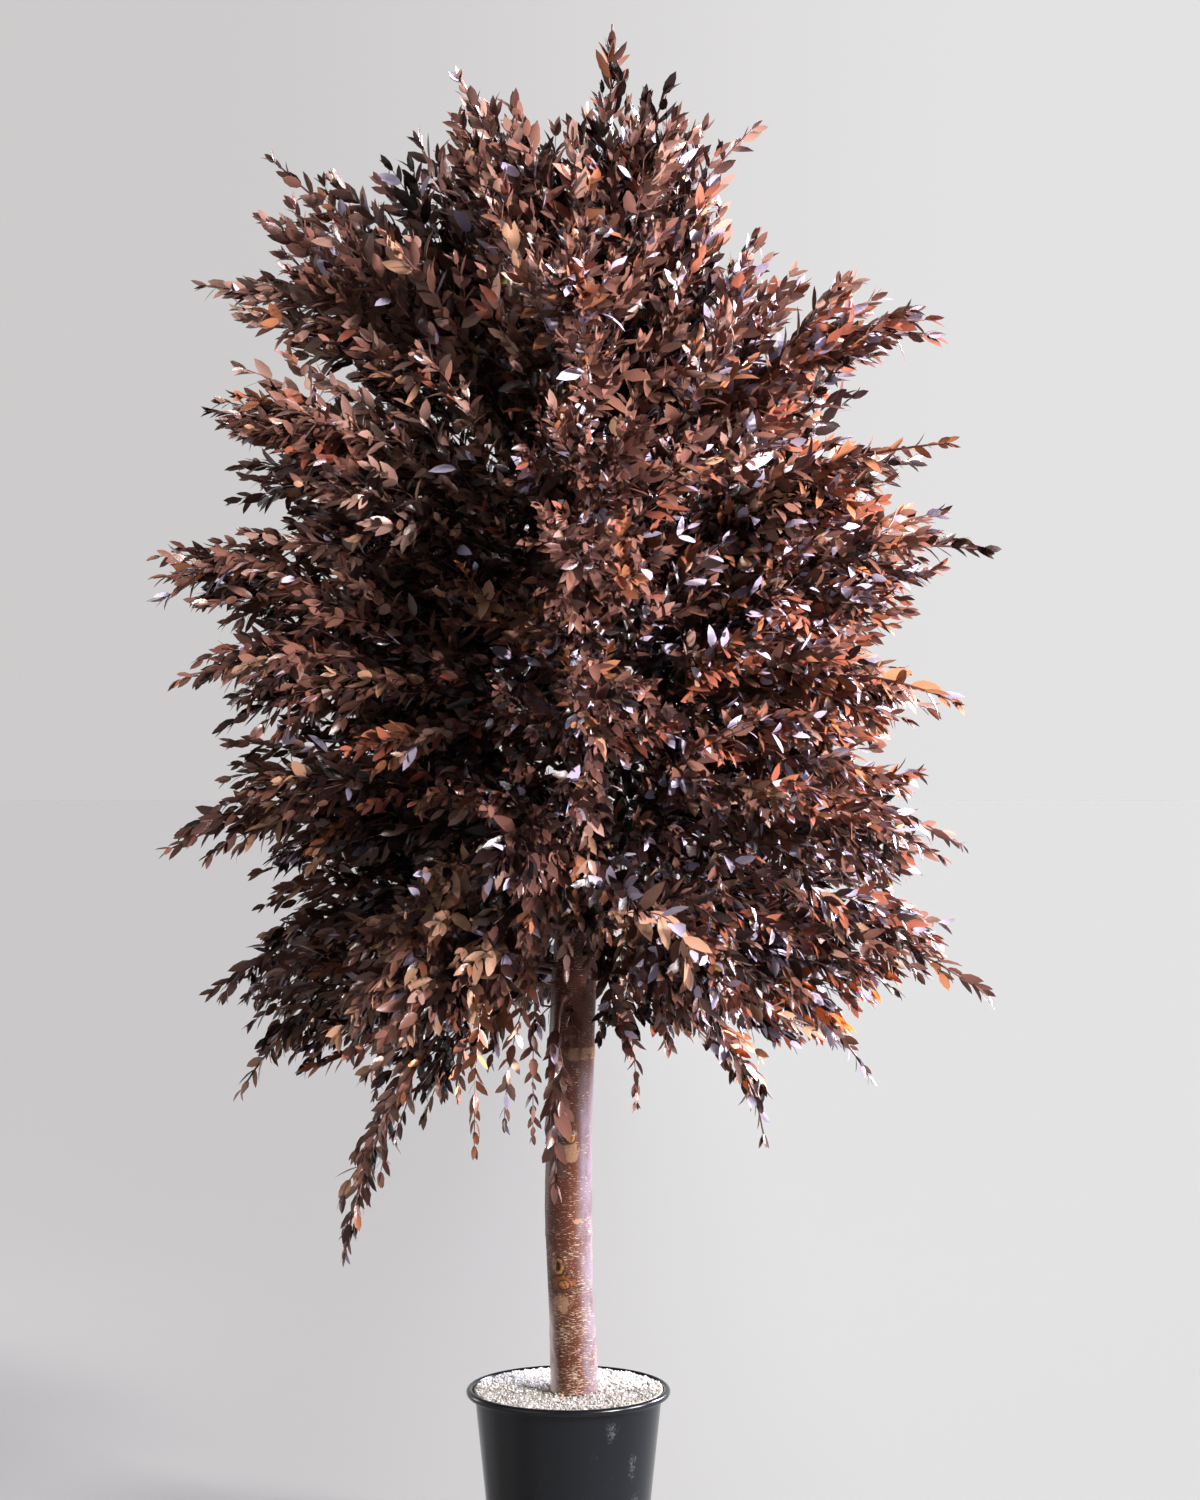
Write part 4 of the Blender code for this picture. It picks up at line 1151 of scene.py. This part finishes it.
def makePot():
    wall, height, lipHeight = pot["wall"], pot["height"], pot["lip"]
    middle, low = height - lipHeight / 2, height - lipHeight
    reach = pot["lipWidth"] / 2
    centre = pot["rim"] - reach
    profile = [(0.0, wall), (potInner(wall), wall), (potInner(low), low)]
    for step in range(pot["lipSteps"] + 1):
        turn = math.pi - 1.5 * math.pi * step / pot["lipSteps"]
        profile.append((centre + reach * math.cos(turn),
                        middle + lipHeight / 2 * math.sin(turn)))
    profile.append((potOuter(low) + pot["groove"], low))
    under = low - 0.001
    for step in range(pot["sideSteps"] + 1):
        level = under - (under - pot["foot"]) * step / pot["sideSteps"]
        profile.append((potOuter(level), level))
    profile += [(pot["base"] - 0.001, 0.0006), (pot["base"] - pot["foot"], 0.0), (0.0, 0.0)]
    piece = turnedMesh("pot_shell", profile, pot["around"], [makePotMaterial()])
    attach(piece, "root")
    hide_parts("pot")
    print("pot:", len(piece.data.polygons), "faces")


makePot()

# gravel: an uneven bed with loose grains on it
gravel = {"top": 0.2765, "edge": 0.2785, "seat": 0.055, "reach": 0.125, "wave": 0.0007,
          "under": 0.0008,  # how far the bed lies under the grains' own level
          "floor": 0.2, "around": 96, "rings": 40}
# loose stones: heaped against the trunk, painted white toward the back where the light falls on
# them, and some of them rusty
stones = {"count": 3400, "size": (0.0011, 0.0021), "heap": 0.0016, "heapReach": 0.006,
          "spread": 0.985, "trunkClear": 0.0006, "sink": 0.0003, "rise": 0.25,
          "squash": (0.7, 1.15), "lump": (0.86, 1.1), "paintedLightFrom": -0.02, "paintedLightOver": 0.07,
          "rustReach": 0.004, "rustShare": 0.45}
grainTints = {"grainPale": ((0.32, 0.308, 0.29), 0.50), "grainWhite": ((0.74, 0.73, 0.71), 0.08),
              "grainBeige": ((0.26, 0.222, 0.18), 0.17), "grainGrey": ((0.42, 0.40, 0.38), 0.05),
              "grainDark": ((0.10, 0.08, 0.07), 0.012), "grainRust": ((0.48, 0.26, 0.12), 0.008)}


def bedHeight(x, y):
    # the bed rises to the rim, and wavers
    top, edge = gravel["top"], gravel["edge"]
    flat = np.interp(np.hypot(x, y), (0, gravel["seat"], gravel["reach"]), (top, top, edge))
    waves = np.sin(x * 61 + 1) * np.cos(y * 53) + np.sin(x * 133 - y * 97)
    return flat + gravel["wave"] * waves


def makeBed(far):
    # the bed fills the pot as far as the gravel shows, and a little of what lies below it
    material = newMaterial("gravelBed", (0.6, 0.55, 0.48), 0.95)
    nodes = Nodes(material)
    speckle = nodes.noise(nodes.place(), 620, 3)
    nodes.paint(nodes.mix(nodes.ramp(speckle, 0.42, 0.58), (0.30, 0.26, 0.21),
                          (0.52, 0.50, 0.46)))
    nodes.bump(speckle, 0.0012)
    reach = np.linspace(0, far, gravel["rings"] + 1)[1:]
    turns = turnsRound(gravel["around"])
    x, y = reach[:, None] * np.cos(turns), reach[:, None] * np.sin(turns)
    top = np.stack([x, y, bedHeight(x, y) - gravel["under"]], -1).reshape(-1, 3)
    low, floor = pot["height"] - pot["lip"], gravel["floor"]
    side = [(far, low + pot["lip"] / 2), (potInner(low) - 2 * gap, low), (potInner(floor), floor)]
    deep = [np.stack([radius * np.cos(turns), radius * np.sin(turns),
                      np.full_like(turns, level)], -1) for radius, level in side]
    ends = [(0, 0, bedHeight(0, 0) - gravel["under"]), (0, 0, floor)]
    return newMesh("gravel_bed", np.vstack([top, *deep, ends]),
                   ringFaces(len(reach) + len(side), gravel["around"]), [material])


def roundStone():
    # a stone of twenty triangles
    long = (1 + 5 ** 0.5) / 2
    corners = unit(np.array([(-1, long, 0), (1, long, 0), (-1, -long, 0), (1, -long, 0),
                             (0, -1, long), (0, 1, long), (0, -1, -long), (0, 1, -long),
                             (long, 0, -1), (long, 0, 1), (-long, 0, -1), (-long, 0, 1)]))
    sides = np.array([(0, 11, 5), (0, 5, 1), (0, 1, 7), (0, 7, 10), (0, 10, 11), (1, 5, 9),
                      (5, 11, 4), (11, 10, 2), (10, 7, 6), (7, 1, 8), (3, 9, 4), (3, 4, 2),
                      (3, 2, 6), (3, 6, 8), (3, 8, 9), (4, 9, 5), (2, 4, 11), (6, 2, 10),
                      (8, 6, 7), (9, 8, 1)])
    return corners, sides


def makeStones(far):
    # squashed and turned at random
    dice = np.random.default_rng(31)
    count = stones["count"]
    away = far * np.sqrt(dice.uniform(0, 1, count)) * stones["spread"]
    turn = dice.uniform(0, 2 * math.pi, count)
    x, y = away * np.cos(turn), away * np.sin(turn)
    foot = trunkCentre(trunk["base"])
    toTrunk = np.hypot(x - foot.x, y - foot.y) - trunk["radius"]
    x, y, toTrunk = (values[toTrunk > stones["trunkClear"]] for values in (x, y, toTrunk))
    count = len(x)
    size = dice.uniform(*stones["size"], count)
    heap = stones["heap"] * np.exp(-(toTrunk / stones["heapReach"]) ** 2)
    height = bedHeight(x, y) - stones["sink"] + heap + size * stones["rise"]
    corners, sides = roundStone()
    spin = unit(dice.normal(0, 1, (count, 3)))
    other = unit(np.cross(spin, dice.normal(0, 1, (count, 3))))
    frames = np.stack([spin, other, np.cross(spin, other)], 1)
    squash = dice.uniform(*stones["squash"], (count, 1, 3))
    shapes = corners[None] * squash * dice.uniform(*stones["lump"], (count, len(corners), 1))
    points = (np.stack([x, y, height], -1)[:, None]
              + np.einsum("nij,njk->nik", shapes, frames) * size[:, None, None])
    faces = sides[None] + (np.arange(count) * len(corners))[:, None, None]
    names = list(grainTints)
    chances = np.array([share for colour, share in grainTints.values()])
    slots = dice.choice(len(names), count, p=chances / chances.sum())
    # painted light: more white stones toward the lit back
    litBack = np.clip((y - stones["paintedLightFrom"]) / stones["paintedLightOver"], 0, 1)
    slots[dice.random(count) < litBack] = names.index("grainWhite")
    rusty = (toTrunk < stones["rustReach"]) & (dice.random(count) < stones["rustShare"])
    slots[rusty] = names.index("grainRust")
    materials = [grainedMaterial(name, colour, 0.85, 900, 0.0004)
                 for name, (colour, share) in grainTints.items()]
    return newMesh("gravel_grains", points.reshape(-1, 3), [faces.reshape(-1, 3)], materials,
                   np.repeat(slots, len(sides)), smooth=False)


def makeGravel():
    far = pot["rim"] - pot["lipWidth"] - 2 * gap
    for piece in (makeBed(far), makeStones(far)):
        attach(piece, "root")
        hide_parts("gravel")
        print(f"{piece.name}:", len(piece.data.polygons), "faces")


makeGravel()

# stage: a plain pale floor, painted lighter toward the right like the sky, under a pale sky, and
# soft lights
stage = {"floorLeft": (0.232, 0.231, 0.218), "floorRight": (0.304, 0.308, 0.288),
         "floorHalf": 60.0, "blend": 0.55,  # the floor turns from left to right over this
         "skyLeft": (0.615, 0.600, 0.600), "skyRight": (0.776, 0.765, 0.770),
         "skyBlend": 0.14, "skyHigh": (0.22, 0.22, 0.23), "high": (0.27, 0.5),
         # dimmer on the front's side, behind whoever looks at the front
         "skyFront": (0.27, 0.268, 0.27), "front": (-0.55, -0.10)}
# daylight from far off: where it comes from, how wide it is in degrees, strength, colour
daylight = {
    "windowRight": ((0.92, -0.06, 0.40), 20, 6.0, (0.88, 0.86, 1.0)),
    "windowBack": ((0.74, 0.56, 0.36), 14, 6.5, (0.84, 0.84, 1.0)),
    "windowFront": ((0.76, -0.54, 0.43), 16, 7.0, (1.0, 0.95, 0.92)),
    "fillLeft": ((-0.70, -0.60, 0.40), 50, 0.50, (1.0, 0.94, 0.90)),
}
# a soft lamp close by: place, aim, power, colour, size across and up
lamps = {
    "rimLeft": ((-2.4, 1.6, 0.7), (0.0, 0.0, 0.45), 10.0, (1.0, 0.95, 1.0), (0.5, 1.0)),
}
# beams: place, aim, power, colour, cone in degrees, radius
beams = {
    "spotRight": ((3.0, -2.6, 1.6), (0.52, 0.0, 1.56), 3400.0, (1.0, 0.93, 0.92), 31, 0.22),
    "sunPatch": ((2.2, -0.60, 0.88), (0.335, -0.25, 0.785), 3200.0, (1.0, 0.92, 0.85), 5, 0.02),
}


def addLight(kind, name, place, aim, power, colour, **settings):
    data = bpy.data.lights.new(name, kind)
    for setting, value in {"energy": power, "color": colour, **settings}.items():
        setattr(data, setting, value)
    place, aim = Vector(place), Vector(aim)
    lamp = bpy.data.objects.new(name, data)
    lamp.location = place
    lamp.rotation_euler = (aim - place).to_track_quat("-Z", "Y").to_euler()
    scene.collection.objects.link(lamp)


def makeStage():
    half, blend = stage["floorHalf"], stage["blend"]
    paint = newMaterial("floorPaint", stage["floorLeft"], 0.9, {"Specular IOR Level": 0.0})
    nodes = Nodes(paint)
    across = nodes.add("SeparateXYZ", None, i0=nodes.place())
    # painted light: the floor is painted lighter toward the right, where the sky is brighter
    nodes.paint(nodes.mix(nodes.ramp(across.outputs[0], -blend, blend), stage["floorLeft"],
                          stage["floorRight"]))
    floor = newMesh("floor", [(-half, -half, 0), (half, -half, 0), (half, half, 0),
                              (-half, half, 0)], [np.array([(0, 1, 2, 3)])], [paint],
                    smooth=False)
    world = bpy.data.worlds.new("paleSky")
    world.use_nodes = True
    scene.world = world
    nodes = Nodes(world)
    split = nodes.add("SeparateXYZ", None, i0=nodes.place("Generated"))
    blend = stage["skyBlend"]
    low = nodes.mix(nodes.ramp(split.outputs[0], -blend, blend), stage["skyLeft"],
                    stage["skyRight"])
    around = nodes.mix(nodes.ramp(split.outputs[1], *stage["front"]), stage["skyFront"], low)
    nodes.feed(world.node_tree.nodes["Background"].inputs[0], nodes.mix(
        nodes.ramp(split.outputs[2], *stage["high"]), around, stage["skyHigh"]))
    for name, (source, width, strength, colour) in daylight.items():
        addLight("SUN", name, Vector(source) * 5, (0, 0, 0), strength, colour,
                 angle=math.radians(width))
    for name, (*where, (wide, tall)) in lamps.items():
        addLight("AREA", name, *where, shape="RECTANGLE", size=wide, size_y=tall)
    for name, (*where, cone, radius) in beams.items():
        addLight("SPOT", name, *where, spot_size=math.radians(cone), spot_blend=1.0,
                 shadow_soft_size=radius)
    scene.view_settings.view_transform = "Standard"


makeStage()
print("stage set")
